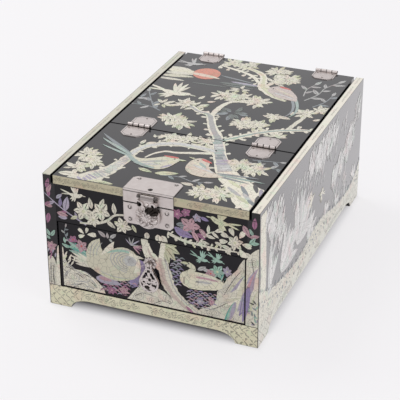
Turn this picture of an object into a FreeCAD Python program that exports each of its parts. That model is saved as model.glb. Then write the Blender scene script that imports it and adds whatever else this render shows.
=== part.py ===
"""A lacquered dressing box: a case on bracket feet with one drawer, and a lid in two hinged leaves.

Millimetres. X runs to the right, Y to the back and Z up. The origin lies under the middle of the case, on
the surface that the feet stand on. The rear leaf of the lid carries a mirror on its underside: the front leaf
folds back onto it, and the pair then lifts upright on the hinges at the back of the case.
"""

import FreeCAD, Part
import math
import os
import PartDesign
import Sketcher
import types

doc = FreeCAD.newDocument("dressing_box")
sheet = doc.addObject("Spreadsheet::Sheet", "Sizes")


class Size:
    """A length that keeps its present number and the expression that works it out from the sheet."""

    def __init__(self, text, number):
        self.text = text
        self.number = number

    def joined(self, sign, other, number):
        return Size("(%s %s %s)" % (self.text, sign, as_size(other).text), number)

    def __add__(self, other):
        return self.joined("+", other, self.number + as_size(other).number)

    def __sub__(self, other):
        return self.joined("-", other, self.number - as_size(other).number)

    def __mul__(self, other):
        return self.joined("*", other, self.number * as_size(other).number)

    def __truediv__(self, other):
        return self.joined("/", other, self.number / as_size(other).number)

    def __neg__(self):
        return Size("(-1 * %s)" % self.text, -self.number)


def as_size(value):
    return value if isinstance(value, Size) else Size("(%.9f)" % value, float(value))


def root(size):
    return Size("sqrt(%s)" % size.text, math.sqrt(size.number))


# Every size that can be set by itself, in millimetres
SIZES = {
    # The case
    "case_width": 200,  # over the side boards
    "case_depth": 305,  # front of the front rail to back of the back panel
    "case_height": 132,  # floor to the top of the lid and of the side rims
    "side_thick": 11,  # side boards
    "front_thick": 10,  # front rail and base rail
    "back_thick": 8,  # back panel
    "rim_width": 7.5,  # side board left standing beside the lid
    "band_thick": 0.5,  # pearl bands, let into the wood
    "band_lift": 0.5,  # base bands stop short of the floor
    "arch_height": 10,  # floor to the top of the cut between the feet
    "base_rail_high": 10.5,  # wood left between the cut and the drawer
    "foot_wide": 21,  # front and back feet, at the floor
    "foot_deep": 26,  # side feet, at the floor
    "shoulder": 19,  # length of the rounded shoulder of a foot
    "opening_high": 67,  # drawer opening
    "deck_thick": 6,  # board that the drawer runs on
    "floor_thick": 5,  # floor of the upper compartment
    "lining_thick": 0.8,  # velvet linings
    "lining_gap": 1,  # velvet to the walls round it
    # The lid
    "lid_thick": 8,  # both leaves
    "lid_gap": 2.4,  # lid to the rim on each side
    "lid_back_gap": 0.2,  # rear leaf stops short of the back face
    "front_leaf_long": 117,  # front of the case to the middle of the seam
    "seam_gap": 0.7,  # front leaf to rear leaf
    # The mirror
    "glass_thick": 3,  # mirror glass
    "glass_play": 0.4,  # glass in its rebate
    "frame_thick": 5.5,  # mirror frame
    "frame_wide": 11,  # mirror frame strips
    "frame_lip": 3.5,  # frame over the edge of the glass
    "frame_side_gap": 3,  # frame to the side boards
    "frame_front_gap": 7,  # frame to the seam
    "frame_back_gap": 4.5,  # frame to the back panel
    # The hinges
    "hinge_offset": 61,  # middle of the case to the middle of a hinge
    "hinge_wide": 22.5,  # hinge along its pin
    "hinge_plate": 0.8,  # hinge leaf sheet
    "hinge_corner": 5,  # cut corners of a hinge leaf
    "knuckle_radius": 1.7,  # outside of the rolled knuckles
    "knuckle_gap": 0.3,  # between neighbouring knuckles
    "barrel_gap": 0.2,  # rolled knuckles to the wood under them
    "pin_radius": 0.7,  # hinge pins
    "pin_play": 0.05,  # pin in its bore
    "leaf_play": 0.3,  # hinge leaf to the knuckles of the other leaf
    "seam_leaf_long": 21.5,  # seam hinge pin to the end of a leaf
    "lid_leaf_long": 19.5,  # back hinge pin to the end of the leaf on the lid
    "case_leaf_long": 26,  # back hinge pin to the end of the leaf on the back panel
    "nail_radius": 1,  # hinge nail heads
    "nail_rise": 0.5,  # hinge nail heads
    "nail_inset": 3.4,  # hinge nails to the edges of a leaf
    # The lock
    "plate_wide": 46.5,  # both lock plates
    "plate_thick": 0.8,  # both lock plates
    "plate_corner": 3.5,  # cut corners of the lock plates
    "lid_plate_deep": 24,  # lid plate, front to back
    "flange_gap": 0.2,  # flange of the lid plate to the front of the lid
    "flange_drop": 11,  # top of the lid to the lower edge of the flange
    "rail_plate_gap": 1.2,  # flange to the rail plate under it
    "rail_plate_high": 19.8,  # rail plate
    "rivet_radius": 2.2,  # lock rivet heads
    "rivet_rise": 0.5,  # lock rivet heads
    "rivet_offset": 17.2,  # middle of the lock to the rivets at its sides
    "rivet_inset": 4.2,  # lock rivets to the front, back, upper and lower edges of a plate
    "hasp_drop": 3.6,  # top of the lid to the hasp pin
    "hasp_knuckle": 1.6,  # outside of the hasp knuckles
    "hasp_pin_radius": 0.7,  # hasp pin
    "hasp_barrel_wide": 12,  # middle knuckle of the hasp
    "hasp_ear_wide": 3.2,  # each outer knuckle, on the flange
    "hasp_thick": 2.7,  # plate of the hasp
    "hasp_gap": 0.3,  # hasp to the flange behind it
    "hasp_neck_wide": 18,  # shoulders of the hasp
    "hasp_neck_drop": 3,  # hasp pin to the shoulders of the hasp
    "hasp_round": 11.6,  # radius of the rounded foot of the hasp
    "hasp_long": 17.3,  # hasp pin to the middle of its boss
    "boss_radius": 8.4,  # boss of the hasp, where it meets the plate
    "boss_rise": 2.9,  # boss of the hasp, outwards
    "petal_radius": 2.6,  # petals round the boss
    "scroll_radius": 2.8,  # outside of each scroll of the hasp
    "scroll_eye": 1.2,  # hole through each scroll
    "scroll_rise": 1.2,  # scrolls, outwards
    "scroll_offset": 5.6,  # middle of the hasp to the middle of a scroll
    "scroll_drop": 5.9,  # hasp pin to the middle of the scrolls
    "bud_radius": 1.8,  # bud between the scrolls
    "stud_radius": 1.5,  # catch stud, where it meets the rail plate
    "stud_rise": 2.1,  # catch stud, outwards
    "stud_play": 0.4,  # catch stud in the slot of the hasp
    # The drawer
    "drawer_play": 1.2,  # drawer to the case at the sides and above
    "drawer_lift": 0.3,  # drawer to the board that it runs on
    "drawer_recess": 1,  # drawer front behind the front of the case
    "drawer_front_thick": 10,  # drawer front
    "drawer_side_thick": 7,  # drawer sides and back
    "drawer_side_high": 52,  # drawer sides and back
    "drawer_back_gap": 0.8,  # drawer to the back panel
    "drawer_bottom_thick": 4,  # drawer bottom
    "groove_deep": 3,  # grooves that hold the drawer bottom
    "groove_lift": 4,  # lower edge of the drawer to the groove
    "groove_play": 0.1,  # drawer bottom in its grooves
    # The drawer pull
    "pull_drop": 24.5,  # top of the drawer opening to the pin of the pull
    "rosette_radius": 4.4,  # rosette behind the pull, without its lobes
    "rosette_lobe": 1.9,  # lobes round the rosette
    "rosette_thick": 0.8,  # rosette behind the pull
    "pull_reach": 2.6,  # rosette to the pin of the pull
    "post_radius": 1.1,  # stem of the pull post
    "eye_radius": 2.2,  # eye of the pull post
    "eye_wide": 2.4,  # eye of the pull post, along the pin
    "pull_pin_radius": 0.8,  # pin of the pull
    "lug_radius": 1.9,  # lugs of the pull, round the pin
    "lug_wide": 1.5,  # lugs of the pull, along the pin
    "lug_gap": 0.3,  # lugs of the pull to the eye between them
    "drop_thick": 2.2,  # pierced drop of the pull
    "drop_head": 4.4,  # small end of the drop, radius
    "drop_head_down": 7.2,  # pin to the middle of the small end
    "drop_bulb": 9.2,  # large end of the drop, radius
    "drop_bulb_down": 17.8,  # pin to the middle of the large end
    "drop_rim": 1.7,  # rim round the piercing
    "drop_bar": 2.4,  # spine of the drop above its flower
    "drop_flower": 3.1,  # lobes of the flower in the piercing, which reach the rim
}
for row, (name, number) in enumerate(SIZES.items(), 1):
    sheet.set("A%d" % row, name)
    sheet.set("B%d" % row, str(number))
    sheet.setAlias("B%d" % row, name)
cells = {name: Size("Sizes." + name, float(number)) for name, number in SIZES.items()}
given = types.SimpleNamespace(**cells)
doc.recompute()

# Planes and places that several pieces share
half_wide = given.case_width / 2
front = -(given.case_depth / 2)
back = given.case_depth / 2
inner_side = half_wide - given.side_thick
inner_front = front + given.front_thick
inner_back = back - given.back_thick
base_top = given.arch_height + given.base_rail_high
opening_top = base_top + given.opening_high
floor_top = opening_top + given.floor_thick
lid_under = given.case_height - given.lid_thick
lid_half = half_wide - given.rim_width - given.lid_gap
seam = front + given.front_leaf_long
zero = as_size(0)


def bind(piece, prop, size):
    piece.setExpression(prop, as_size(size).text)


def put(piece, x, y, z):
    """Set the place of a piece, which keeps its turn."""
    for axis, size in zip("xyz", (x, y, z)):
        bind(piece, "Placement.Base." + axis, size)
    return piece


def turn(piece, axis, angle):
    piece.Placement = FreeCAD.Placement(FreeCAD.Vector(), FreeCAD.Rotation(FreeCAD.Vector(*axis), angle))
    return piece


def block(label, x, y, z):
    """A box between two planes in each direction."""
    box = doc.addObject("Part::Box", label)
    for prop, (low, high) in zip(("Length", "Width", "Height"), (x, y, z)):
        bind(box, prop, as_size(high) - low)
    return put(box, x[0], y[0], z[0])


ALONG_X = ((0, 1, 0), 90)
ALONG_MINUS_Y = ((1, 0, 0), 90)
ALONG_Z = ((0, 0, 1), 0)


def rod(label, radius, length, along, x, y, z):
    """A cylinder that starts at a point and runs along one direction."""
    cylinder = doc.addObject("Part::Cylinder", label)
    bind(cylinder, "Radius", radius)
    bind(cylinder, "Height", length)
    return put(turn(cylinder, *along), x, y, z)


def ball(label, radius, x, y, z):
    solid = doc.addObject("Part::Sphere", label)
    bind(solid, "Radius", radius)
    return put(solid, x, y, z)


def cap(label, radius, rise, along, x, y, z):
    """A low round head, cut from a ball, that stands on a point and points along one direction."""
    whole = (radius * radius + rise * rise) / (rise * 2)
    sunk = whole - rise
    head = doc.addObject("Part::Sphere", label)
    bind(head, "Radius", whole)
    head.setExpression("Angle1", "asin((%s) / (%s))" % (sunk.text, whole.text))
    turned = FreeCAD.Rotation(FreeCAD.Vector(*along[0]), along[1])
    outward = turned.multVec(FreeCAD.Vector(0, 0, 1))
    return put(turn(head, *along), x - sunk * outward.x, y - sunk * outward.y, z - sunk * outward.z)


def cut(label, base, tool):
    piece = doc.addObject("Part::Cut", label)
    piece.Base = base
    piece.Tool = tool
    piece.Refine = True
    return piece


def fuse(label, pieces):
    piece = doc.addObject("Part::MultiFuse", label)
    piece.Shapes = pieces
    piece.Refine = True
    return piece


def group(label, pieces):
    piece = doc.addObject("Part::Compound", label)
    piece.Links = pieces
    return piece


def sketch_on(body, role):
    """A new sketch on one of the body's own origin planes."""
    sketch = body.newObject("Sketcher::SketchObject", body.Name + "_sketch")
    plane = [feature for feature in body.Origin.OriginFeatures if feature.Role == role][0]
    sketch.AttachmentSupport = [(plane, "")]
    sketch.MapMode = "FlatFace"
    return sketch


def hold(sketch, constraint, size):
    """Add a constraint and tie it to the sheet."""
    number = sketch.addConstraint(constraint)
    sketch.setExpression("Constraints[%d]" % number, size.text)


def padded(label, sketch, length):
    body = sketch.getParentGeoFeatureGroup()
    pad = body.newObject("PartDesign::Pad", label + "_pad")
    pad.Profile = sketch
    bind(pad, "Length", length)
    sketch.Visibility = False
    return pad


def plate(label, corners, thick):
    """A flat plate on the XY plane with straight edges through its corners."""
    body = doc.addObject("PartDesign::Body", label)
    sketch = sketch_on(body, "XY_Plane")
    ends = [FreeCAD.Vector(x.number, y.number, 0) for x, y in corners]
    for start, end in zip(ends, ends[1:] + ends[:1]):
        sketch.addGeometry(Part.LineSegment(start, end))
    for edge, (x, y) in enumerate(corners):
        following = (edge + 1) % len(corners)
        sketch.addConstraint(Sketcher.Constraint("Coincident", edge, 2, following, 1))
        hold(sketch, Sketcher.Constraint("DistanceX", -1, 1, edge, 1, x.number), x)
        hold(sketch, Sketcher.Constraint("DistanceY", -1, 1, edge, 1, y.number), y)
    padded(label, sketch, thick)
    return body


def arch(label, along_y, half_reach, middle, thick):
    """What is cut away between two feet: a flat middle and a quarter ellipse at each end."""
    flat = half_reach - given.shoulder
    span = (-flat, flat)
    through = (middle - thick, middle + thick)
    height = (-given.arch_height, given.arch_height)
    pieces = [block(label + "_flat", *((through, span) if along_y else (span, through)), height)]
    for side in (-1, 1):
        ellipse = doc.addObject("Part::Ellipse", label + "_end")
        bind(ellipse, "MajorRadius", given.shoulder)
        bind(ellipse, "MinorRadius", given.arch_height)
        turn(ellipse, (1, 1, 1) if along_y else (1, 0, 0), 120 if along_y else 90)
        put(ellipse, *((middle, flat * side) if along_y else (flat * side, middle)), zero)
        end = doc.addObject("Part::Extrusion", label + "_shoulder")
        end.Base = ellipse
        end.DirMode = "Normal"
        end.Symmetric = True
        end.Solid = True
        bind(end, "LengthFwd", thick * 2)
        pieces.append(end)
    return fuse(label, pieces)


nodes = []


def done(piece):
    """Keep a finished sub-part under its label."""
    nodes.append(piece)
    return piece


SIDES = (("left", -1), ("right", 1))


def ordered(low, high):
    """Two planes, the lower number first."""
    return (low, high) if low.number < high.number else (high, low)


# Side boards carry the lid on their inner edge, and a rim strip stands on each beside the lid.
# The bands are let into the edges.
for name, side in SIDES:
    label = "side_panel_" + name
    outer = half_wide * side
    board = block(label + "_board", ordered(outer, inner_side * side), (front, back), (zero, lid_under))
    side_recess = block(
        label + "_side_recess",
        ordered((half_wide - given.band_thick) * side, outer),
        (front, back),
        (zero, base_top),
    )
    front_recess = block(
        label + "_front_recess",
        ordered(inner_side * side, outer),
        (front, front + given.band_thick),
        (zero, base_top),
    )
    feet = arch(
        label + "_arch",
        True,
        back - given.foot_deep,
        (half_wide - given.side_thick / 2) * side,
        given.side_thick,
    )
    waste = fuse(label + "_waste", [side_recess, front_recess, feet])
    done(cut(label, board, waste))

    rim = ordered((half_wide - given.rim_width) * side, outer)
    band_foot = given.case_height - given.band_thick
    done(block("rim_strip_" + name, rim, (front, back), (lid_under, band_foot)))
    done(block("rim_band_" + name, rim, (front, back), (band_foot, given.case_height)))

    label = "base_band_" + name
    band = block(
        label + "_strip",
        ordered((half_wide - given.band_thick) * side, outer),
        (front + given.band_thick, back),
        (given.band_lift, base_top),
    )
    feet = arch(label + "_arch", True, back - given.foot_deep, outer, given.side_thick)
    done(cut(label, band, feet))

# Back panel, base rail and the band on the base rail have the same cut between the feet
half_arch = half_wide - given.foot_wide
inside = (-inner_side, inner_side)

board = block("back_panel_board", inside, (inner_back, back), (zero, lid_under))
done(
    cut(
        "back_panel",
        board,
        arch("back_panel_arch", False, half_arch, back - given.back_thick / 2, given.back_thick),
    )
)

board = block("base_rail_board", inside, (front + given.band_thick, inner_front), (zero, base_top))
feet = arch("base_rail_arch", False, half_arch, inner_front - given.front_thick / 2, given.front_thick)
done(cut("base_rail", board, feet))

board = block(
    "base_band_front_strip",
    (-half_wide, half_wide),
    (front, front + given.band_thick),
    (given.band_lift, base_top),
)
done(
    cut(
        "base_band_front",
        board,
        arch("base_band_front_arch", False, half_arch, front, given.front_thick),
    )
)

# Boards across the case
done(block("front_rail", inside, (front, inner_front), (opening_top, lid_under)))
done(block("drawer_deck", inside, (inner_front, inner_back), (base_top - given.deck_thick, base_top)))
done(block("compartment_floor", inside, (inner_front, inner_back), (opening_top, floor_top)))
done(
    block(
        "compartment_lining",
        (-(inner_side - given.lining_gap), inner_side - given.lining_gap),
        (inner_front + given.lining_gap, inner_back - given.lining_gap),
        (floor_top, floor_top + given.lining_thick),
    )
)

# Lid leaves
lid_across = (-lid_half, lid_half)
lid_through = (lid_under, given.case_height)
leaf_back = seam - given.seam_gap / 2
done(block("lid_front_leaf", lid_across, (front + given.band_thick, leaf_back), lid_through))
done(block("lid_front_band", lid_across, (front, front + given.band_thick), lid_through))
done(
    block(
        "lid_rear_leaf", lid_across, (seam + given.seam_gap / 2, back - given.lid_back_gap), lid_through
    )
)

# Mirror on the underside of the rear leaf: four rebated strips hold the glass against the wood
frame_half = inner_side - given.frame_side_gap
frame_front = seam + given.frame_front_gap
frame_back = inner_back - given.frame_back_gap
frame_through = (lid_under - given.frame_thick, lid_under)
rebate_half = frame_half - given.frame_wide + given.frame_lip
rebate_front = frame_front + given.frame_wide - given.frame_lip
rebate_back = frame_back - given.frame_wide + given.frame_lip
rebate = block(
    "mirror_rebate",
    (-rebate_half, rebate_half),
    (rebate_front, rebate_back),
    (lid_under - given.glass_thick, lid_under),
)
opening_half = frame_half - given.frame_wide
for name, side in SIDES:
    across = ordered(frame_half * side, opening_half * side)
    strip = block("mirror_strip_" + name, across, (frame_front, frame_back), frame_through)
    done(cut("mirror_frame_" + name, strip, rebate))
for name, along in (
    ("front", (frame_front, frame_front + given.frame_wide)),
    ("rear", (frame_back - given.frame_wide, frame_back)),
):
    strip = block("mirror_strip_" + name, (-opening_half, opening_half), along, frame_through)
    done(cut("mirror_frame_" + name, strip, rebate))
done(
    block(
        "mirror_glass",
        (-(rebate_half - given.glass_play), rebate_half - given.glass_play),
        (rebate_front + given.glass_play, rebate_back - given.glass_play),
        (lid_under - given.glass_thick, lid_under),
    )
)

# Hinges: each leaf has two of the four knuckles, and the leaf across from it, turned about, has the other two
KNUCKLES = 4
knuckle_wide = (given.hinge_wide - given.knuckle_gap * (KNUCKLES - 1)) / KNUCKLES
plate_start = given.knuckle_radius + given.leaf_play
hinge_half = given.hinge_wide / 2
seam_axis_up = given.knuckle_radius + given.barrel_gap
corner_axis_out = (given.knuckle_radius + given.barrel_gap) / root(as_size(2))


def hinge_leaf(label, axis_up, leaf_long):
    """A leaf that lies on the XY plane towards -Y, with its pin along X through the point (0, 0, axis_up)."""
    sheet_metal = plate(
        label + "_sheet",
        (
            (-hinge_half, -plate_start),
            (-hinge_half, given.hinge_corner - leaf_long),
            (given.hinge_corner - hinge_half, -leaf_long),
            (hinge_half - given.hinge_corner, -leaf_long),
            (hinge_half, given.hinge_corner - leaf_long),
            (hinge_half, -plate_start),
        ),
        given.hinge_plate,
    )
    pieces = [sheet_metal]
    for place in range(0, KNUCKLES, 2):
        left = (knuckle_wide + given.knuckle_gap) * place - hinge_half
        pieces.append(
            rod(label + "_knuckle", given.knuckle_radius, knuckle_wide, ALONG_X, left, zero, axis_up)
        )
        tongue = (-plate_start - given.hinge_plate, -given.knuckle_radius / 2)
        pieces.append(
            block(label + "_tongue", (left, left + knuckle_wide), tongue, (zero, given.hinge_plate))
        )
    bore = rod(
        label + "_bore",
        given.pin_radius + given.pin_play,
        given.hinge_wide,
        ALONG_X,
        -hinge_half,
        zero,
        axis_up,
    )
    return cut(label, fuse(label + "_metal", pieces), bore)


NAIL_PLACES = ((-1, 0), (1, 0), (0, 1))
HALF_TURN = ((0, 0, 1), 180)
DOWN_THE_BACK = ((0, 1, 1), 180)
back_pin_y = back + corner_axis_out
back_pin_z = given.case_height + corner_axis_out
seam_pin_z = given.case_height + seam_axis_up


def nail_heads(label, x, pin_y, sign, leaf_long):
    """Nail heads on a leaf that lies on top of the lid, on the side of its pin that the sign gives."""
    across = hinge_half - given.nail_inset
    near = plate_start + given.nail_inset
    far = leaf_long - given.nail_inset
    heads = []
    for place, end in NAIL_PLACES:
        y = pin_y + (far if end else near) * sign
        top = given.case_height + given.hinge_plate
        heads.append(cap(label, given.nail_radius, given.nail_rise, ALONG_Z, x + across * place, y, top))
    return heads


front_nails = []
rear_nails = []
case_nails = []
for name, side in SIDES:
    x = given.hinge_offset * side
    leaf = hinge_leaf("seam_hinge_front_" + name, seam_axis_up, given.seam_leaf_long)
    done(put(leaf, x, seam, given.case_height))
    front_nails += nail_heads("front_nail_" + name, x, seam, -1, given.seam_leaf_long)

    leaf = hinge_leaf("seam_hinge_rear_" + name, seam_axis_up, given.seam_leaf_long)
    done(put(turn(leaf, *HALF_TURN), x, seam, given.case_height))
    rear_nails += nail_heads("rear_nail_" + name, x, seam, 1, given.seam_leaf_long)
    done(
        rod(
            "seam_hinge_pin_" + name,
            given.pin_radius,
            given.hinge_wide,
            ALONG_X,
            x - hinge_half,
            seam,
            seam_pin_z,
        )
    )

    leaf = hinge_leaf("back_hinge_lid_" + name, corner_axis_out, given.lid_leaf_long)
    done(put(leaf, x, back_pin_y, given.case_height))
    rear_nails += nail_heads("lid_nail_" + name, x, back_pin_y, -1, given.lid_leaf_long)

    leaf = hinge_leaf("back_hinge_case_" + name, corner_axis_out, given.case_leaf_long)
    done(put(turn(leaf, *DOWN_THE_BACK), x, back, back_pin_z))
    pin_start = (x - hinge_half, back_pin_y, back_pin_z)
    done(rod("back_hinge_pin_" + name, given.pin_radius, given.hinge_wide, ALONG_X, *pin_start))
    low = back_pin_z - given.case_leaf_long + given.nail_inset
    for place, end in NAIL_PLACES:
        spot = (
            x + (hinge_half - given.nail_inset) * place,
            back + given.hinge_plate,
            low + given.hinge_corner * (1 - end),
        )
        case_nails.append(
            cap("case_nail_" + name, given.nail_radius, given.nail_rise, ((1, 0, 0), -90), *spot)
        )
done(group("hinge_nails_front_leaf", front_nails))
done(group("hinge_nails_rear_leaf", rear_nails))
done(group("hinge_nails_case", case_nails))

# Lock plate on the front leaf: it bends down over the front edge, and its flange is notched for the hasp
plate_half = given.plate_wide / 2
flange_back = front - given.flange_gap
flange_front = flange_back - given.plate_thick
plate_back = front + given.lid_plate_deep
flange_foot = given.case_height - given.flange_drop
hasp_y = front - given.hasp_knuckle - given.hasp_gap
hasp_z = given.case_height - given.hasp_drop
barrel_half = given.hasp_barrel_wide / 2
ear_start = barrel_half + given.knuckle_gap
ear_end = ear_start + given.hasp_ear_wide
hasp_bore = given.hasp_pin_radius + given.pin_play

top_plate = plate(
    "lid_plate_top",
    (
        (-plate_half, flange_front),
        (plate_half, flange_front),
        (plate_half, plate_back - given.plate_corner),
        (plate_half - given.plate_corner, plate_back),
        (given.plate_corner - plate_half, plate_back),
        (-plate_half, plate_back - given.plate_corner),
    ),
    given.plate_thick,
)
put(top_plate, zero, zero, given.case_height)
flange = block(
    "lid_plate_flange",
    (-plate_half, plate_half),
    (flange_front, flange_back),
    (flange_foot, given.case_height + given.plate_thick),
)
notch = block(
    "lid_plate_notch",
    (-ear_start, ear_start),
    (flange_front - given.plate_thick, front),
    (flange_foot - given.plate_thick, hasp_z + given.hasp_knuckle + given.hasp_gap),
)
ears = []
for x in (-ear_end, ear_start):
    ears.append(rod("lid_plate_ear", given.hasp_knuckle, given.hasp_ear_wide, ALONG_X, x, hasp_y, hasp_z))
bore = rod("lid_plate_bore", hasp_bore, ear_end * 2, ALONG_X, -ear_end, hasp_y, hasp_z)
edge = block(
    "lid_plate_edge",
    (-plate_half, plate_half),
    (flange_back, front),
    (flange_foot, given.case_height),
)
notched = cut("lid_plate_notched", flange, notch)
trimmed = cut("lid_plate_trimmed", fuse("lid_plate_metal", [top_plate, notched] + ears), edge)
done(cut("lock_lid_plate", trimmed, bore))
done(rod("hasp_pin", given.hasp_pin_radius, ear_end * 2, ALONG_X, -ear_end, hasp_y, hasp_z))
rivets = []
rivet_half = given.rivet_offset
for x, y in (
    (-rivet_half, plate_back - given.rivet_inset),
    (rivet_half, plate_back - given.rivet_inset),
    (zero, front + given.rivet_inset),
):
    rivets.append(
        cap(
            "lid_plate_rivet",
            given.rivet_radius,
            given.rivet_rise,
            ALONG_Z,
            x,
            y,
            given.case_height + given.plate_thick,
        )
    )
done(group("lock_lid_rivets", rivets))

# Lock plate on the front rail, with the stud that the hasp closes over
rail_plate_top = flange_foot - given.rail_plate_gap
rail_plate_foot = rail_plate_top - given.rail_plate_high
rail_plate = plate(
    "lock_rail_plate",
    (
        (-plate_half, rail_plate_foot + given.plate_corner),
        (given.plate_corner - plate_half, rail_plate_foot),
        (plate_half - given.plate_corner, rail_plate_foot),
        (plate_half, rail_plate_foot + given.plate_corner),
        (plate_half, rail_plate_top),
        (-plate_half, rail_plate_top),
    ),
    given.plate_thick,
)
done(put(turn(rail_plate, *ALONG_MINUS_Y), zero, front, zero))
rail_plate_face = front - given.plate_thick
rivets = []
for x in (-rivet_half, rivet_half):
    for z in (rail_plate_top - given.rivet_inset, rail_plate_foot + given.rivet_inset):
        rivets.append(
            cap(
                "rail_plate_rivet",
                given.rivet_radius,
                given.rivet_rise,
                ALONG_MINUS_Y,
                x,
                rail_plate_face,
                z,
            )
        )
done(group("lock_rail_rivets", rivets))
stud_z = hasp_z - given.hasp_long
done(cap("catch_stud", given.stud_radius, given.stud_rise, ALONG_MINUS_Y, zero, rail_plate_face, stud_z))

# Hasp: a cast plate that hangs from its pin, with a flower boss, a ring of petals, two scrolls and a bud.
# The slot in its back drops over the catch stud and is open below, so the lid can lift with the hasp closed.
hasp_back = flange_front - given.hasp_gap
hasp_face = hasp_back - given.hasp_thick
hasp_slab = (hasp_face, hasp_back)
neck_half = given.hasp_neck_wide / 2
boss_z = hasp_z - given.hasp_long
castings = [
    rod("hasp_barrel", given.hasp_knuckle, given.hasp_barrel_wide, ALONG_X, -barrel_half, hasp_y, hasp_z),
    block("hasp_tongue", (-barrel_half, barrel_half), hasp_slab, (hasp_z - given.hasp_neck_drop, hasp_z)),
    block("hasp_shoulders", (-neck_half, neck_half), hasp_slab, (boss_z, hasp_z - given.hasp_neck_drop)),
    rod("hasp_foot", given.hasp_round, given.hasp_thick, ALONG_MINUS_Y, zero, hasp_back, boss_z),
    cap("hasp_boss", given.boss_radius, given.boss_rise, ALONG_MINUS_Y, zero, hasp_face, boss_z),
    ball("hasp_bud", given.bud_radius, zero, hasp_face, hasp_z - given.scroll_drop),
]
PETALS = 8
for petal in range(PETALS):
    angle = 2 * math.pi * (petal + 0.5) / PETALS
    x = given.boss_radius * math.cos(angle)
    z = boss_z + given.boss_radius * math.sin(angle)
    castings.append(ball("hasp_petal", given.petal_radius, x, hasp_face, z))
scroll_z = hasp_z - given.scroll_drop
scroll_thick = given.hasp_thick + given.scroll_rise
for x in (-given.scroll_offset, given.scroll_offset):
    castings.append(
        rod("hasp_scroll", given.scroll_radius, scroll_thick, ALONG_MINUS_Y, x, hasp_back, scroll_z)
    )
slot_half = given.stud_radius + given.stud_play
slot_end = rail_plate_face - given.stud_rise - given.stud_play
slot_top = rod("hasp_slot_top", slot_half, hasp_back - slot_end, ALONG_MINUS_Y, zero, hasp_back, boss_z)
slot = block(
    "hasp_slot", (-slot_half, slot_half), (slot_end, hasp_back), (boss_z - given.hasp_round * 2, boss_z)
)
back_side = block(
    "hasp_back_side",
    (-(given.hasp_round * 2), given.hasp_round * 2),
    (hasp_back, hasp_back + given.hasp_round),
    (boss_z - given.hasp_round * 2, hasp_z - given.hasp_knuckle - given.hasp_gap),
)
waste = [slot_top, slot, back_side]
for x in (-given.scroll_offset, given.scroll_offset):
    waste.append(rod("hasp_eye", given.scroll_eye, scroll_thick, ALONG_MINUS_Y, x, hasp_back, scroll_z))
waste.append(rod("hasp_bore", hasp_bore, given.hasp_barrel_wide, ALONG_X, -barrel_half, hasp_y, hasp_z))
done(cut("hasp", fuse("hasp_casting", castings), fuse("hasp_waste", waste)))

# Drawer: the sides and back stand between the front and the back, and the bottom lies in grooves
drawer_front_y = front + given.drawer_recess
drawer_half = inner_side - given.drawer_play
drawer_foot = base_top + given.drawer_lift
drawer_inner_front = drawer_front_y + given.drawer_front_thick
drawer_back_y = inner_back - given.drawer_back_gap
drawer_inner_back = drawer_back_y - given.drawer_side_thick
drawer_inner_half = drawer_half - given.drawer_side_thick
bottom_low = drawer_foot + given.groove_lift
bottom_top = bottom_low + given.drawer_bottom_thick
drawer_side_through = (drawer_foot, drawer_foot + given.drawer_side_high)
groove_half = drawer_inner_half + given.groove_deep
groove = block(
    "drawer_groove",
    (-groove_half, groove_half),
    (drawer_inner_front - given.groove_deep, drawer_back_y),
    (bottom_low - given.groove_play, bottom_top + given.groove_play),
)
board = block(
    "drawer_front_board",
    (-drawer_half, drawer_half),
    (drawer_front_y, drawer_inner_front),
    (drawer_foot, opening_top - given.drawer_play),
)
done(cut("drawer_front", board, groove))
for name, side in SIDES:
    across = ordered(drawer_half * side, drawer_inner_half * side)
    along = (drawer_inner_front, drawer_back_y)
    board = block("drawer_side_board_" + name, across, along, drawer_side_through)
    done(cut("drawer_side_" + name, board, groove))
done(
    block(
        "drawer_back",
        (-drawer_inner_half, drawer_inner_half),
        (drawer_inner_back, drawer_back_y),
        (bottom_top + given.groove_play, drawer_foot + given.drawer_side_high),
    )
)
done(
    block(
        "drawer_bottom",
        (given.groove_play - groove_half, groove_half - given.groove_play),
        (drawer_inner_front - given.groove_deep + given.groove_play, drawer_back_y),
        (bottom_low, bottom_top),
    )
)
done(
    block(
        "drawer_lining",
        (-(drawer_inner_half - given.lining_gap), drawer_inner_half - given.lining_gap),
        (drawer_inner_front + given.lining_gap, drawer_inner_back - given.lining_gap),
        (bottom_top, bottom_top + given.lining_thick),
    )
)

# Drawer pull: a rosette, a post with an eye, and a pierced drop whose two lugs straddle the eye on a pin
pull_z = opening_top - given.pull_drop
rosette_face = drawer_front_y - given.rosette_thick
pull_y = rosette_face - given.pull_reach
eye_half = given.eye_wide / 2
lug_start = eye_half + given.lug_gap
lug_end = lug_start + given.lug_wide
rosette_axis = (given.rosette_thick, ALONG_MINUS_Y)
rosette = [rod("pull_rosette_disc", given.rosette_radius, *rosette_axis, zero, drawer_front_y, pull_z)]
ROSETTE_LOBES = 8
for lobe in range(ROSETTE_LOBES):
    angle = 2 * math.pi * lobe / ROSETTE_LOBES
    x = given.rosette_radius * math.cos(angle)
    z = pull_z + given.rosette_radius * math.sin(angle)
    rosette.append(rod("pull_rosette_lobe", given.rosette_lobe, *rosette_axis, x, drawer_front_y, z))
done(fuse("pull_rosette", rosette))
stem = rod("pull_stem", given.post_radius, given.pull_reach, ALONG_MINUS_Y, zero, rosette_face, pull_z)
eye = rod("pull_eye", given.eye_radius, given.eye_wide, ALONG_X, -eye_half, pull_y, pull_z)
bore = rod(
    "pull_eye_bore",
    given.pull_pin_radius + given.pin_play,
    given.eye_wide,
    ALONG_X,
    -eye_half,
    pull_y,
    pull_z,
)
done(cut("pull_post", fuse("pull_post_metal", [stem, eye]), bore))
done(rod("pull_pin", given.pull_pin_radius, lug_end * 2, ALONG_X, -lug_end, pull_y, pull_z))


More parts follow.
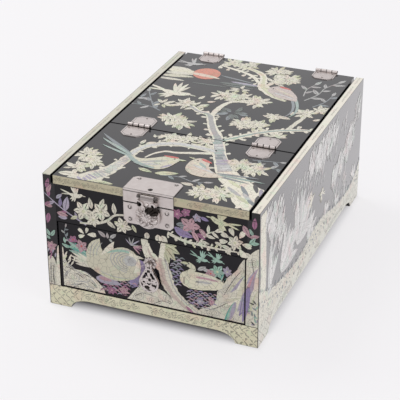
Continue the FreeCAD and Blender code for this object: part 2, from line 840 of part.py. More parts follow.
def pear(label, bulb, head):
    """A flat drop: a large and a small circle joined by the two lines that touch both."""
    body = doc.addObject("PartDesign::Body", label)
    sketch = sketch_on(body, "XZ_Plane")
    lean = math.asin(
        (bulb.number - head.number) / (given.drop_bulb_down.number - given.drop_head_down.number)
    )
    centres = (-given.drop_bulb_down, -given.drop_head_down)
    sweeps = ((math.pi - lean, 2 * math.pi + lean), (lean, math.pi - lean))
    for centre, radius, sweep in zip(centres, (bulb, head), sweeps):
        circle = Part.Circle(FreeCAD.Vector(0, centre.number, 0), FreeCAD.Vector(0, 0, 1), radius.number)
        sketch.addGeometry(Part.ArcOfCircle(circle, *sweep))
    large, small = sketch.Geometry
    sketch.addGeometry(Part.LineSegment(large.EndPoint, small.StartPoint))
    sketch.addGeometry(Part.LineSegment(small.EndPoint, large.StartPoint))
    for first, second in ((0, 2), (2, 1), (1, 3), (3, 0)):
        sketch.addConstraint(Sketcher.Constraint("Tangent", first, 2, second, 1))
    for arc, (centre, radius) in enumerate(zip(centres, (bulb, head))):
        sketch.addConstraint(Sketcher.Constraint("PointOnObject", arc, 3, -2))
        hold(sketch, Sketcher.Constraint("DistanceY", -1, 1, arc, 3, centre.number), centre)
        hold(sketch, Sketcher.Constraint("Radius", arc, radius.number), radius)
    padded(label, sketch, given.drop_thick).Midplane = True
    return body


rim = cut(
    "pull_drop_rim",
    pear("pull_drop_outer", given.drop_bulb, given.drop_head),
    pear("pull_drop_inner", given.drop_bulb - given.drop_rim, given.drop_head - given.drop_rim),
)
drop_half = given.drop_thick / 2
metal = [rim]
for name, start in (("left", -lug_end), ("right", lug_start)):
    metal.append(rod("pull_lug_" + name, given.lug_radius, given.lug_wide, ALONG_X, start, zero, zero))
    cheek = (-given.drop_head_down, zero)
    metal.append(
        block("pull_cheek_" + name, (start, start + given.lug_wide), (-drop_half, drop_half), cheek)
    )
LOBES = 5
LOBE_SPREAD = 1.5  # middle of the flower to the middle of a lobe, in lobe radii
flower_reach = given.drop_flower * LOBE_SPREAD
bar_half = given.drop_bar / 2
for lobe in range(LOBES):
    angle = math.pi / 2 + 2 * math.pi * lobe / LOBES
    x = flower_reach * math.cos(angle)
    z = flower_reach * math.sin(angle) - given.drop_bulb_down
    metal.append(rod("pull_lobe", given.drop_flower, given.drop_thick, ALONG_MINUS_Y, x, drop_half, z))
spine = (-given.drop_bulb_down, -given.drop_head_down)
metal.append(block("pull_spine", (-bar_half, bar_half), (-drop_half, drop_half), spine))
bore = rod(
    "pull_lug_bore", given.pull_pin_radius + given.pin_play, lug_end * 2, ALONG_X, -lug_end, zero, zero
)
done(put(cut("pull_drop", fuse("pull_drop_metal", metal), bore), zero, pull_y, pull_z))

doc.recompute()

for piece in doc.Objects:
    if "Invalid" in piece.State or "Error" in piece.State:
        raise RuntimeError("%s failed: %s" % (piece.Label, piece.State))
for piece in nodes:
    if piece.Shape.isNull() or not piece.Shape.isValid():
        raise RuntimeError("%s has no valid shape" % piece.Label)

os.makedirs("parts", exist_ok=True)
for piece in nodes:
    piece.Shape.exportStep("parts/%s.step" % piece.Label)
    print("%-26s %10.1f mm3  %d" % (piece.Label, piece.Shape.Volume, len(piece.Shape.Solids)))
print(len(nodes), "sub-parts")
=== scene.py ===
"""Looks of a lacquered dressing box: finishes for its solids, and pearl pictures laid on its faces."""

import bpy
import math
import random
from mathutils import Matrix, Vector


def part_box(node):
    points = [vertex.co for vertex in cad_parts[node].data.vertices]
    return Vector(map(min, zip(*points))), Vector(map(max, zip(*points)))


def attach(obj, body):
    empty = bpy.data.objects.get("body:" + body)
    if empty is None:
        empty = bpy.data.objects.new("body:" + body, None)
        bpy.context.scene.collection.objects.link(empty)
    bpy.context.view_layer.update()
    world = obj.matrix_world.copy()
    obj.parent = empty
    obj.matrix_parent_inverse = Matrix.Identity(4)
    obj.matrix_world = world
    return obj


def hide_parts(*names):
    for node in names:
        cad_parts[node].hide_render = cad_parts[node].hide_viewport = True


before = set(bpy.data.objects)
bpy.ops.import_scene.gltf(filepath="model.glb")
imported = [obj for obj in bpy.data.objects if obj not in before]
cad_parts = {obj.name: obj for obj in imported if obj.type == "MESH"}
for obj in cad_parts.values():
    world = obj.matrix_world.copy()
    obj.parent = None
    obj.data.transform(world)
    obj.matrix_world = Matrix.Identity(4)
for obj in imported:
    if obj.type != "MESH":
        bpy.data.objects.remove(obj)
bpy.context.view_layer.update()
bpy.ops.object.select_all(action="DESELECT")

# Case boards
# Thin wooden boards glued at the corners, under many coats of black lacquer that are rubbed to a gloss.
# The film is a little uneven, and rubbing leaves faint haze on it.

MM = 0.001


class Strand:
    """One value in a material's nodes. Sums, products and comparisons of strands add Math nodes."""

    def __init__(self, finish, socket):
        self.finish = finish
        self.socket = socket

    def maths(self, operation, first, second=0.0):
        return self.finish.add("ShaderNodeMath", {"operation": operation}, {0: first, 1: second})

    def __add__(self, other):
        return self.maths("ADD", self, other)

    def __sub__(self, other):
        return self.maths("SUBTRACT", self, other)

    def __rsub__(self, other):
        return self.maths("SUBTRACT", other, self)

    def __mul__(self, other):
        return self.maths("MULTIPLY", self, other)

    def __truediv__(self, other):
        return self.maths("DIVIDE", self, other)

    def __mod__(self, other):
        return self.maths("FLOORED_MODULO", self, other)

    def __pow__(self, other):
        return self.maths("POWER", self, other)

    def __lt__(self, other):
        return self.maths("LESS_THAN", self, other)

    def __gt__(self, other):
        return self.maths("GREATER_THAN", self, other)

    def __abs__(self):
        return self.maths("ABSOLUTE", self)

    def sine(self):
        return self.maths("SINE", self)

    def or_else(self, other):
        return self.maths("MAXIMUM", self, other)

    __radd__ = __add__
    __rmul__ = __mul__


class Finish:
    """A material whose shader takes constants, or strands where the surface varies."""

    def __init__(self, name, constants):
        self.material = bpy.data.materials.new(name)
        self.material.use_nodes = True
        self.tree = self.material.node_tree
        self.shader = self.tree.nodes["Principled BSDF"]
        for socket, value in constants.items():
            self.shader.inputs[socket].default_value = value
        self.place = self.add("ShaderNodeTexCoord", output="Object")

    def add(self, kind, settings=None, inputs=None, output=0):
        """Any node: its settings are set first, then the values or links of its sockets."""
        node = self.tree.nodes.new(kind)
        for name, value in (settings or {}).items():
            setattr(node, name, value)
        for name, value in (inputs or {}).items():
            if isinstance(value, Strand):
                self.tree.links.new(value.socket, node.inputs[name])
            else:
                node.inputs[name].default_value = value
        return Strand(self, node.outputs[output])

    def mix(self, share, first, second, how="MIX"):
        settings = {"data_type": "RGBA", "blend_type": how}
        colours = [c if isinstance(c, Strand) else (*c, 1) for c in (first, second)]
        return self.add("ShaderNodeMix", settings, {0: share, 6: colours[0], 7: colours[1]}, 2)

    def clouds(self, size, detail=2, stretch=(1, 1, 1)):
        """Soft noise whose patches are about as long as the size."""
        scale = {"Vector": self.place, "Scale": stretch}
        place = self.place if stretch == (1, 1, 1) else self.add("ShaderNodeMapping", None, scale)
        return self.add("ShaderNodeTexNoise", None, {"Vector": place, "Scale": 1 / size, "Detail": detail})

    def axes(self):
        apart = {"Vector": self.place}
        return [self.add("ShaderNodeSeparateXYZ", None, apart, side) for side in range(3)]

    def feed(self, socket, strand):
        self.tree.links.new(strand.socket, self.shader.inputs[socket])

    def emboss(self, height, deep, strength=1.0):
        relief = {"Height": height, "Distance": deep, "Strength": strength}
        self.feed("Normal", self.add("ShaderNodeBump", None, relief))


def wear(finish, *nodes):
    """Give CAD nodes a finish."""
    for node in nodes:
        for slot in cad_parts[node].material_slots:
            slot.material = finish.material


FILM_DARK = (0.006, 0.0055, 0.007)
FILM_HAZY = (0.014, 0.0125, 0.016)
FILM_PAINTED_SHEEN = (0.066, 0.056, 0.061)
FILM_SHINE = (1.0, 0.93, 0.93, 1)
GROOVE_HALF = 1.1 * MM


def film(name, ground, coat, outer_from=None, groove=None):
    """Lacquer whose ground coats and last coat have these indices of refraction.

    Beyond outer_from the last coat is thicker and the film is painted paler, as a painted sheen. Along a
    groove it is worn off.
    """
    ground_coats = {"IOR": ground, "Specular Tint": FILM_SHINE}
    last_coat = {"Coat Weight": 1.0, "Coat IOR": coat, "Coat Roughness": 0.02}
    finish = Finish(name, {**ground_coats, **last_coat})
    haze = finish.clouds(9 * MM, 4)
    colour = finish.mix(haze, FILM_DARK, FILM_HAZY)
    if outer_from:
        # Outer faces: a painted sheen, paler than the black film
        outer = abs(finish.axes()[0]) > outer_from
        colour = finish.mix(outer, colour, FILM_PAINTED_SHEEN)
        finish.feed("Coat Weight", 0.25 + 0.75 * outer)
    rough = 0.05 + 0.1 * haze
    if groove:
        worn = abs(finish.axes()[1] - groove) < GROOVE_HALF
        colour = finish.mix(worn, colour, FILM_DARK)
        rough = rough + 0.8 * worn
        finish.feed("Coat Weight", 1 - worn)
    finish.feed("Base Color", colour)
    finish.feed("Roughness", rough)
    finish.emboss(finish.clouds(24 * MM), 0.05 * MM, 0.4)
    return finish


SIDES = ("left", "right")
lid_seam = (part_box("lid_front_leaf")[1].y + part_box("lid_rear_leaf")[0].y) / 2
lacquer = film("black_lacquer", 1.28, 1.28, groove=lid_seam)
wear(lacquer, "back_panel", "base_rail", "lid_front_leaf", "lid_rear_leaf")
wear(film("front_lacquer", 1.2, 1.2), "front_rail", "drawer_front")
outer_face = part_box("side_panel_right")[1].x - 0.05 * MM
# The outer faces of the sides are painted paler: a painted sheen for their grazing reflection.
side_lacquer = film("side_lacquer", 1.28, 1.7, outer_face)
for side in SIDES:
    wear(side_lacquer, "side_panel_" + side, "rim_strip_" + side)

# Pearl bands
# Strips of shell let into the rims, the front edge of the lid and the base, flush with the lacquer.
# A vine scroll is engraved along them, with a lattice on the feet, and black is rubbed into the lines.

SHELL = {"IOR": 1.5, "Coat Weight": 0.6, "Coat Roughness": 0.05}
CREAM = (0.74, 0.70, 0.53)
ENGRAVED = (0.10, 0.09, 0.07)
PLAY_ROSE = (1.0, 0.72, 0.74)
PLAY_GREEN = (0.74, 1.0, 0.84)
GROWTH = (0.55, 0.52, 0.45)


def shell_colour(finish, tint, play):
    """The tint with the soft rose and green of shell, as strong as the play, and fine growth lines."""
    rose = finish.clouds(13 * MM, 1)
    green = finish.clouds(8 * MM, 2)
    grain = finish.clouds(1.4 * MM, 3, (1, 1, 0.25))
    warm = finish.mix((rose > 0.56) * (rose - 0.56) * (4.5 * play), tint, PLAY_ROSE, "MULTIPLY")
    cool = finish.mix((green > 0.55) * (green - 0.55) * (5 * play), warm, PLAY_GREEN, "MULTIPLY")
    return finish.mix(0.25 * grain, cool, GROWTH, "MULTIPLY")


def vine(along, across, pitch, swing, line):
    """A wavy stem with a ring in each hollow: 1 on the engraved lines and 0 between them."""
    stem = abs(across - swing * (along * (2 * math.pi / pitch)).sine()) < line
    half = pitch / 2
    turned = ((along / pitch) % 1.0 < 0.5) * 2.0 - 1.0
    step = along % half - half / 2
    hollow = across + turned * (swing * 0.75)
    apart = (step * step + hollow * hollow) ** 0.5
    ring = abs(apart - swing * 0.85) < line
    seed = apart < swing * 0.3
    return stem.or_else(ring).or_else(seed)


def lattice(along, across, pitch, line):
    """Crossed slanting lines with a curl in each mesh."""
    rising = (along + across) % pitch - pitch / 2
    falling = (along - across) % pitch - pitch / 2
    crossed = (abs(rising) < line).or_else((abs(falling) < line) * (across > 0))
    first = pitch / 2 - abs(rising)
    second = pitch / 2 - abs(falling)
    apart = (first * first + second * second) ** 0.5
    curl = (abs(apart - pitch * 0.2) < line * 1.2) * (falling > 0)
    return crossed.or_else(curl)


def halves(low, high):
    """The middle of a span, and half its length."""
    return (low + high) / 2, (high - low) / 2


MESH = 9 * MM
MESH_LINE = 0.62 * MM


def band_finish(name, axes, span, tint, pitch, feet_from=None, border=0.0, end=1.0):
    """Shell with a vine of that pitch in stretches, a lattice on the feet, and black along its edges.

    The axes are the letters of those along and across it, and the span is its middle and half across.
    """
    finish = Finish(name, SHELL)
    middle, half = span
    place = dict(zip("xyz", finish.axes()))
    along = place[axes[0]]
    across = abs(place[axes[1]]) - middle
    shake = finish.clouds(4 * MM, 2) - 0.5
    aside = across + shake * (0.5 * pitch)
    lines = vine(along + shake * pitch, aside, pitch, 0.17 * pitch, 0.03 * pitch)
    lines = lines * (finish.clouds(26 * MM, 1) > 0.42)
    if feet_from:
        on_foot = abs(along) > feet_from
        bold = lattice(along + shake * (7 * MM), across, MESH, MESH_LINE)
        bold = bold * (finish.clouds(4 * MM, 1) > 0.38)
        lines = lines * (1 - on_foot) + bold * on_foot
    worn = (lines * (0.35 + 0.6 * finish.clouds(5 * MM))).or_else(abs(across) > half - border)
    worn = worn.or_else(abs(along) > end)
    finish.feed("Base Color", finish.mix(worn, shell_colour(finish, tint, 0.45), ENGRAVED))
    finish.feed("Roughness", 0.16 + 0.3 * lines)
    finish.emboss(1 - lines, 0.06 * MM)
    return finish


RIM_CREAMS_LEFT_SHADED = ((0.64, 0.61, 0.49), (0.86, 0.81, 0.69))
RIM_PITCH = 3.6 * MM
RIM_BORDER = 0.35 * MM
rim_low, rim_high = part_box("rim_band_right")
rim_span = halves(rim_low.x, rim_high.x)
# One cream for each rim: the left one is painted darker than the right, as painted shade.
for side, tint in zip(SIDES, RIM_CREAMS_LEFT_SHADED):
    rim_shell = band_finish("rim_shell_" + side, "yx", rim_span, tint, RIM_PITCH, border=RIM_BORDER)
    wear(rim_shell, "rim_band_" + side)

EDGE_CREAM = (0.56, 0.50, 0.33)
EDGE_PITCH = 9 * MM
edge_low, edge_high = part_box("lid_front_band")
edge_span = halves(edge_low.z, edge_high.z)
wear(band_finish("lid_edge_shell", "xz", edge_span, EDGE_CREAM, EDGE_PITCH), "lid_front_band")

BASE_CREAM = (0.82, 0.78, 0.56)
SIDE_CREAM = (0.78, 0.76, 0.64)
BASE_PITCH = 13 * MM
ARCH_TOP = 10 * MM
FOOT_LONG = 32 * MM
CORNER_LINE = 0.7 * MM
base_low, base_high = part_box("base_band_front")
base_middle, base_half = halves(ARCH_TOP, base_high.z)
# Given wider than it is, so that no black runs along its edges
base_span = (base_middle, 3 * base_half)
feet_from = base_high.x - FOOT_LONG
base_end = base_high.x - CORNER_LINE
base_shell = band_finish("base_front_shell", "xz", base_span, BASE_CREAM, BASE_PITCH,
                         feet_from, end=base_end)
wear(base_shell, "base_band_front")
feet_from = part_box("base_band_right")[1].y - FOOT_LONG
side_shell = band_finish("base_side_shell", "yz", base_span, SIDE_CREAM, BASE_PITCH, feet_from)
for side in SIDES:
    wear(side_shell, "base_band_" + side)

# Pictures on the sides
# Plates of shell, sawn out one by one, glued on the ground coats and rubbed level with the last coat.
# The sides show a wooded bank: rocks and cliffs along the base, trees above them and birds between.

# In millimetres: a plate's thickness, the lift of a layer, and a step that keeps its plates apart
PLATE_THICK = 0.16
LAYER = 0.05
STEP = 0.002
STEPS = 25
SHADES = (0.86, 1.08)
IVORY = (0.80, 0.755, 0.62)
LIME = (0.66, 0.66, 0.44)
GREEN = (0.34, 0.53, 0.43)
TEAL = (0.10, 0.37, 0.30)
ROSE = (0.52, 0.30, 0.34)
MAGENTA = (0.36, 0.12, 0.24)
VIOLET = (0.26, 0.20, 0.39)
LILAC = (0.42, 0.37, 0.47)
SLATE = (0.23, 0.26, 0.28)
MIST = (0.46, 0.45, 0.44)
ASH = (0.60, 0.60, 0.58)
MILK = (0.80, 0.77, 0.75)
RED = (0.62, 0.10, 0.08)
INK = (0.012, 0.011, 0.013)

inlay = Finish("pearl_inlay", SHELL)
plate_tint = inlay.add("ShaderNodeAttribute", {"attribute_name": "tint"})
CRACKLE = 5 * MM
cells = {"Vector": inlay.place, "Scale": 1 / CRACKLE}
hairline = inlay.add("ShaderNodeTexVoronoi", {"feature": "DISTANCE_TO_EDGE"}, cells) < 0.025
inlay.feed("Base Color", inlay.mix(0.55 * hairline, shell_colour(inlay, plate_tint, 0.7), ENGRAVED))
inlay.feed("Roughness", 0.14 + 0.2 * inlay.clouds(4 * MM, 3))
inlay.emboss(1 - hairline, 0.03 * MM, 0.6)


def sawn(*outlines):
    """A plate of shell along closed outlines. A point with a third value is a sharp corner."""
    drawing = bpy.data.curves.new("outline", "CURVE")
    drawing.dimensions = "2D"
    drawing.fill_mode = "BOTH"
    drawing.extrude = PLATE_THICK / 2
    drawing.resolution_u = 2
    for outline in outlines:
        spline = drawing.splines.new("BEZIER")
        spline.use_cyclic_u = True
        spline.bezier_points.add(len(outline) - 1)
        for knot, point in zip(spline.bezier_points, outline):
            knot.co = (point[0], point[1], 0)
            knot.handle_left_type = "VECTOR" if len(point) > 2 else "AUTO"
            knot.handle_right_type = knot.handle_left_type
    shape = bpy.data.objects.new("outline", drawing)
    bpy.context.scene.collection.objects.link(shape)
    bpy.context.view_layer.objects.active = shape
    shape.select_set(True)
    bpy.ops.object.convert(target="MESH")
    mesh = shape.data
    bpy.data.objects.remove(shape)
    return mesh


def mirrored(outline):
    return [(point[0], -point[1], *point[2:]) for point in outline]


HALF_LEAF = [(0, 0.01, 1), (0.3, 0.4), (0.68, 0.32), (1, 0.01, 1), (0.5, 0.035)]
PETAL = [(0, 0, 1), (0.42, 0.34), (0.8, 0.4), (1, 0.12), (0.9, 0), (1, -0.12), (0.8, -0.4), (0.42, -0.34)]
FEATHER = [(0, 0.06), (0.35, 0.42), (0.8, 0.34), (1, 0, 1), (0.6, -0.3), (0.2, -0.34)]
CHIP = [(-0.5, -0.5, 1), (0.5, -0.42, 1), (0.42, 0.5, 1), (-0.5, 0.44, 1)]
DISC = [(math.cos(math.radians(30 * step)), math.sin(math.radians(30 * step))) for step in range(12)]
CRESCENT = [(-1, 0, 1), (-0.55, 0.6), (0, 0.8), (0.55, 0.6), (1, 0, 1), (0.5, 0.28), (0, 0.4), (-0.5, 0.28)]
BIRD = [(0.52, 0.15), (0.43, 0.25), (0.31, 0.21), (0.12, 0.15), (-0.15, 0.12), (-0.42, 0.03, 1),
        (-0.2, -0.12), (0.1, -0.17), (0.32, -0.1), (0.45, 0.04)]
leaf = sawn(HALF_LEAF, mirrored(HALF_LEAF))
petal = sawn(PETAL)
feather = sawn(FEATHER)
chip = sawn(CHIP)
disc = sawn(DISC)
hoop = sawn(DISC, [(0.92 * x, 0.92 * y) for x, y in DISC])
crescent = sawn(CRESCENT)
bird_body = sawn(BIRD)


def at(x, y, turn=0.0, long=1.0, wide=None):
    """A place on a face in millimetres, a turn in degrees, and the size along and across."""
    size = Matrix.Diagonal((long, long if wide is None else wide, 1, 1))
    return Matrix.Translation((x, y, 0)) @ Matrix.Rotation(math.radians(turn), 4, "Z") @ size


class Picture:
    """Plates laid on one face. Its matrix takes millimetres on the face to metres in the part."""

    def __init__(self, origin, right, up, out, seed):
        columns = [MM * Vector(axis) for axis in (right, up, out)]
        self.face = Matrix.Translation(origin) @ Matrix(columns).transposed().to_4x4()
        self.chance = random.Random(seed)
        self.laid = []
        self.clear = []

    def some(self, low, high):
        return self.chance.uniform(low, high)

    def lay(self, plate, place, tint, layer=0):
        """Glue one plate, unless a corner of it would lie in one of the rectangles kept clear."""
        corners = [place @ vertex.co for vertex in plate.vertices] if self.clear else []
        for low_x, low_y, high_x, high_y in self.clear:
            if any(low_x < corner.x < high_x and low_y < corner.y < high_y for corner in corners):
                return
        mesh = plate.copy()
        lift = layer * LAYER + len(self.laid) % STEPS * STEP
        where = self.face @ Matrix.Translation((0, 0, lift)) @ place
        mesh.transform(where)
        if where.determinant() < 0:
            mesh.flip_normals()
        shade = self.some(*SHADES)
        colours = mesh.attributes.new("tint", "FLOAT_COLOR", "POINT")
        colours.data.foreach_set("color", [*(shade * part for part in tint), 1] * len(mesh.vertices))
        self.laid.append(mesh)

    def glue(self, name):
        """Join the plates to one piece."""
        for mesh in self.laid:
            piece = bpy.data.objects.new(name, mesh)
            bpy.context.scene.collection.objects.link(piece)
            piece.select_set(True)
        bpy.context.view_layer.objects.active = piece
        bpy.ops.object.join()
        piece.name = name
        piece.data.materials.clear()
        piece.data.materials.append(inlay.material)
        bpy.ops.object.select_all(action="DESELECT")
        return piece


def run(points, parts):
    """Places along a smooth line through points (x, y, width): (x, y, width, heading in degrees)."""
    ends = [points[0], *points, points[-1]]
    places = []
    for before, start, end, after in zip(ends, ends[1:], ends[2:], ends[3:]):
        for part in range(parts):
            t = part / parts
            place = []
            for a, b, c, d in zip(before, start, end, after):
                bend = (2 * a - 5 * b + 4 * c - d) * t * t + (3 * b - 3 * c + d - a) * t ** 3
                place.append(b + ((c - a) * t + bend) / 2)
            places.append(place)
    places.append(list(points[-1]))
    steps = [(q[0] - p[0], q[1] - p[1]) for p, q in zip(places, places[1:])]
    steps.append(steps[-1])
    return [(*place, math.degrees(math.atan2(step[1], step[0]))) for place, step in zip(places, steps)]


def shaped(picture, outline, tint, layer=0):
    """One plate with an outline of its own."""
    picture.lay(sawn(outline), Matrix.Identity(4), tint, layer)


def limb(picture, points, tint, layer=0, rough=0.0):
    """A stem through points (x, y, width), uneven where it is rough."""
    left = []
    right = []
    for x, y, width, heading in run(points, 5 if rough else 3):
        lean = math.radians(heading)
        for border, side in ((left, 1), (right, -1)):
            reach = side * width / 2 * (1 + picture.some(-rough, rough))
            border.append((x - math.sin(lean) * reach, y + math.cos(lean) * reach))
    there = [(*left[0], 1), *left[1:-1], (*left[-1], 1)]
    back = [(*right[-1], 1), *right[-2:0:-1], (*right[0], 1)]
    shaped(picture, there + back, tint, layer)


def bark(picture, points, tints, layer=2):
    """Strips across a limb, in tints that follow one another along it."""
    places = run(points, 7)
    for number, (here, there) in enumerate(zip(places, places[1:])):
        step = math.dist(here[:2], there[:2])
        middle = at((here[0] + there[0]) / 2, (here[1] + there[1]) / 2, here[3] + picture.some(-12, 12))
        aside = here[2] * picture.some(-0.1, 0.1)
        strip = at(0, aside, 0, step * picture.some(0.55, 0.8), here[2] * picture.some(0.5, 0.8))
        picture.lay(chip, middle @ strip, tints[number * len(tints) // len(places)], layer)


def knots(picture, points, tint, size, parts=4, layer=0):
    """Buds and knots that stand out along both edges of a limb."""
    for number, (x, y, width, heading) in enumerate(run(points, parts)):
        side = 1 if number % 2 else -1
        long = size * picture.some(0.7, 1.3)
        bud = at(0, side * width * 0.4, side * picture.some(25, 80), long, long * picture.some(0.5, 0.8))
        picture.lay(petal, at(x, y, heading) @ bud, tint, layer)


def spray(picture, points, stem_tint, tints, long, wide=0.42, layer=0):
    """A twig through points (x, y, width) with leaves on both sides and one at its tip."""
    limb(picture, points, stem_tint, layer)
    places = run(points, 2)[1:]
    for number, (x, y, width, heading) in enumerate(places):
        reach = long * picture.some(0.75, 1.1)
        lean = 0 if number == len(places) - 1 else (52 if number % 2 else -52) + picture.some(-12, 12)
        picture.lay(leaf, at(x, y, heading + lean, reach, reach * wide), tints[number % len(tints)], layer)


def star(picture, x, y, size, tint, heart=LIME, petals=7, layer=1):
    """An open blossom: a ring of pointed petals, a shorter ring on it, and its heart."""
    first = picture.some(0, 360)
    for ring, reach in enumerate((size, size * 0.6)):
        for number in range(petals):
            turn = first + 360 * (number + 0.5 * ring) / petals
            long = reach * picture.some(0.85, 1.12)
            picture.lay(leaf, at(x, y, turn, long, long * 4.6 / petals), tint, layer + ring)
    for number in range(petals):
        turn = first + 360 * (number + 0.5) / petals
        picture.lay(leaf, at(x, y, turn) @ at(size * 0.42, 0, 0, size * 0.3, size * 0.08), INK, layer + 1)
    picture.lay(disc, at(x, y, 0, size * 0.16), heart, layer + 2)


GOLDEN_TURN = 137.5


def bough(picture, x, y, reach, blossoms, tints, size=7.0, layer=1):
    """Pointed leaves crowded round a few small blossoms."""
    count = int(1.9 * reach)
    for number in range(count):
        turn = GOLDEN_TURN * number + picture.some(-25, 25)
        away = 0.78 * reach * math.sqrt((number + 0.5) / count)
        long = size * picture.some(0.75, 1.2)
        place = at(x, y, turn) @ at(away, 0, picture.some(-40, 40), long, long * 0.47)
        picture.lay(leaf, place, tints[number % len(tints)], layer)
    for number in range(blossoms):
        turn = math.radians(60 + GOLDEN_TURN * number)
        away = reach * 0.75 * math.sqrt((number + 0.3) / blossoms)
        spot = (x + away * math.cos(turn), y + away * math.sin(turn))
        star(picture, *spot, size * 0.85, tints[0], layer=layer + 1)


# Feathers of a bird on the wing, as turns in degrees and shares of its length
TAIL = ((168, 0.62), (192, 0.55))
WINGS = ((75, 0.5), (92, 0.62), (108, 0.66), (124, 0.6), (-100, 0.4), (-118, 0.46), (-136, 0.44))


def flying_bird(picture, here, tint, layer=2):
    """A small bird on spread wings, as long as its place says."""
    for turn, long in TAIL:
        picture.lay(feather, here @ at(-0.2, 0, turn, long, 0.1), tint, layer)
    for turn, long in WINGS:
        picture.lay(feather, here @ at(0.08, 0, turn, long, 0.13), tint, layer)
    picture.lay(bird_body, here @ at(0, -0.02, 0, 0.9, 0.7), tint, layer + 1)
    picture.lay(leaf, here @ at(0.44, 0.08, 0, 0.2, 0.07), tint, layer + 1)


def rock(picture, outline, tint, cracks=(), layer=0):
    """A stone with engraved lines through points (x, y, width)."""
    shaped(picture, outline, tint, layer)
    for line in cracks:
        limb(picture, line, INK, layer + 1)


def ripples(picture, x, y, rows, columns, size, tints, layer=0):
    """Rows of water, each a chain of crescents set between those of the row below."""
    for row in range(rows):
        for column in range(columns):
            aside = (column + 0.5 * (row % 2) - columns / 2) * size * 1.9
            tone = tints[(row + 2 * column) % len(tints)]
            long = size * picture.some(0.8, 1.25)
            drop = at(x + aside, y + row * size * 0.75 + picture.some(-0.6, 0.6), picture.some(-14, 14))
            picture.lay(crescent, drop @ at(0, 0, 0, long, long), tone, layer)


def trimmed(piece, name, low, high):
    """A copy of a picture, sawn off at the planes of a box. Metres, with None where nothing is cut."""
    part = piece.copy()
    part.data = piece.data.copy()
    part.name = name
    bpy.context.scene.collection.objects.link(part)
    bpy.context.view_layer.objects.active = part
    part.select_set(True)
    bpy.ops.object.mode_set(mode="EDIT")
    for axis in range(3):
        for limit, outward in ((low[axis], -1), (high[axis], 1)):
            if limit is None:
                continue
            point = [0, 0, 0]
            point[axis] = limit
            normal = [0, 0, 0]
            normal[axis] = outward
            bpy.ops.mesh.select_all(action="SELECT")
            bpy.ops.mesh.bisect(plane_co=point, plane_no=normal, use_fill=True, clear_outer=True)
    bpy.ops.object.mode_set(mode="OBJECT")
    part.select_set(False)
    return part


def laid_on(piece, body):
    """Fix a picture to the body that carries it."""
    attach(piece, body)


def plume(picture, x, y, lean, spread, count, long, tints, layer=1, wide=0.16):
    """A fan of blades from one foot."""
    for number in range(count):
        turn = lean + spread * (number / (count - 1) - 0.5) + picture.some(-4, 4)
        reach = long * picture.some(0.7, 1.05)
        picture.lay(feather, at(x, y, turn, reach, reach * wide), tints[number % len(tints)], layer)


def hanging(picture, x, y, count, reach, long, tints, layer=1):
    """Slender leaves that hang in a loose cluster."""
    for number in range(count):
        turn = math.radians(GOLDEN_TURN * number)
        away = reach * math.sqrt((number + 0.5) / count)
        place = at(x + away * math.cos(turn), y + away * math.sin(turn), -120 + picture.some(-16, 16))
        size = at(0, 0, 0, long * picture.some(0.7, 1.2), long * 0.26)
        picture.lay(feather, place @ size, tints[number % len(tints)], layer)


side_low, side_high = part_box("side_panel_right")
bank_low = base_high.z
rim_foot = rim_low.z - 0.5 * MM
# In millimetres along the side and up: the bank's outline, and plumes (x, y, lean, spread, count, long)
SHORE = [(-154, 18, 1), (-154, 56), (-140, 50), (-116, 41), (-94, 37), (-70, 33), (-40, 32), (-14, 36),
         (8, 39), (32, 38), (60, 31), (92, 26), (124, 27), (142, 34), (154, 42, 1), (154, 18, 1)]
PLUMES = ((-52, 50, 52, 98, 19, 54), (-97, 46, 34, 78, 11, 50), (-22, 38, 34, 60, 6, 34),
          (34, 36, 60, 70, 6, 18), (-124, 48, 66, 36, 4, 36), (72, 28, 80, 90, 6, 18),
          (134, 30, 110, 50, 5, 20))
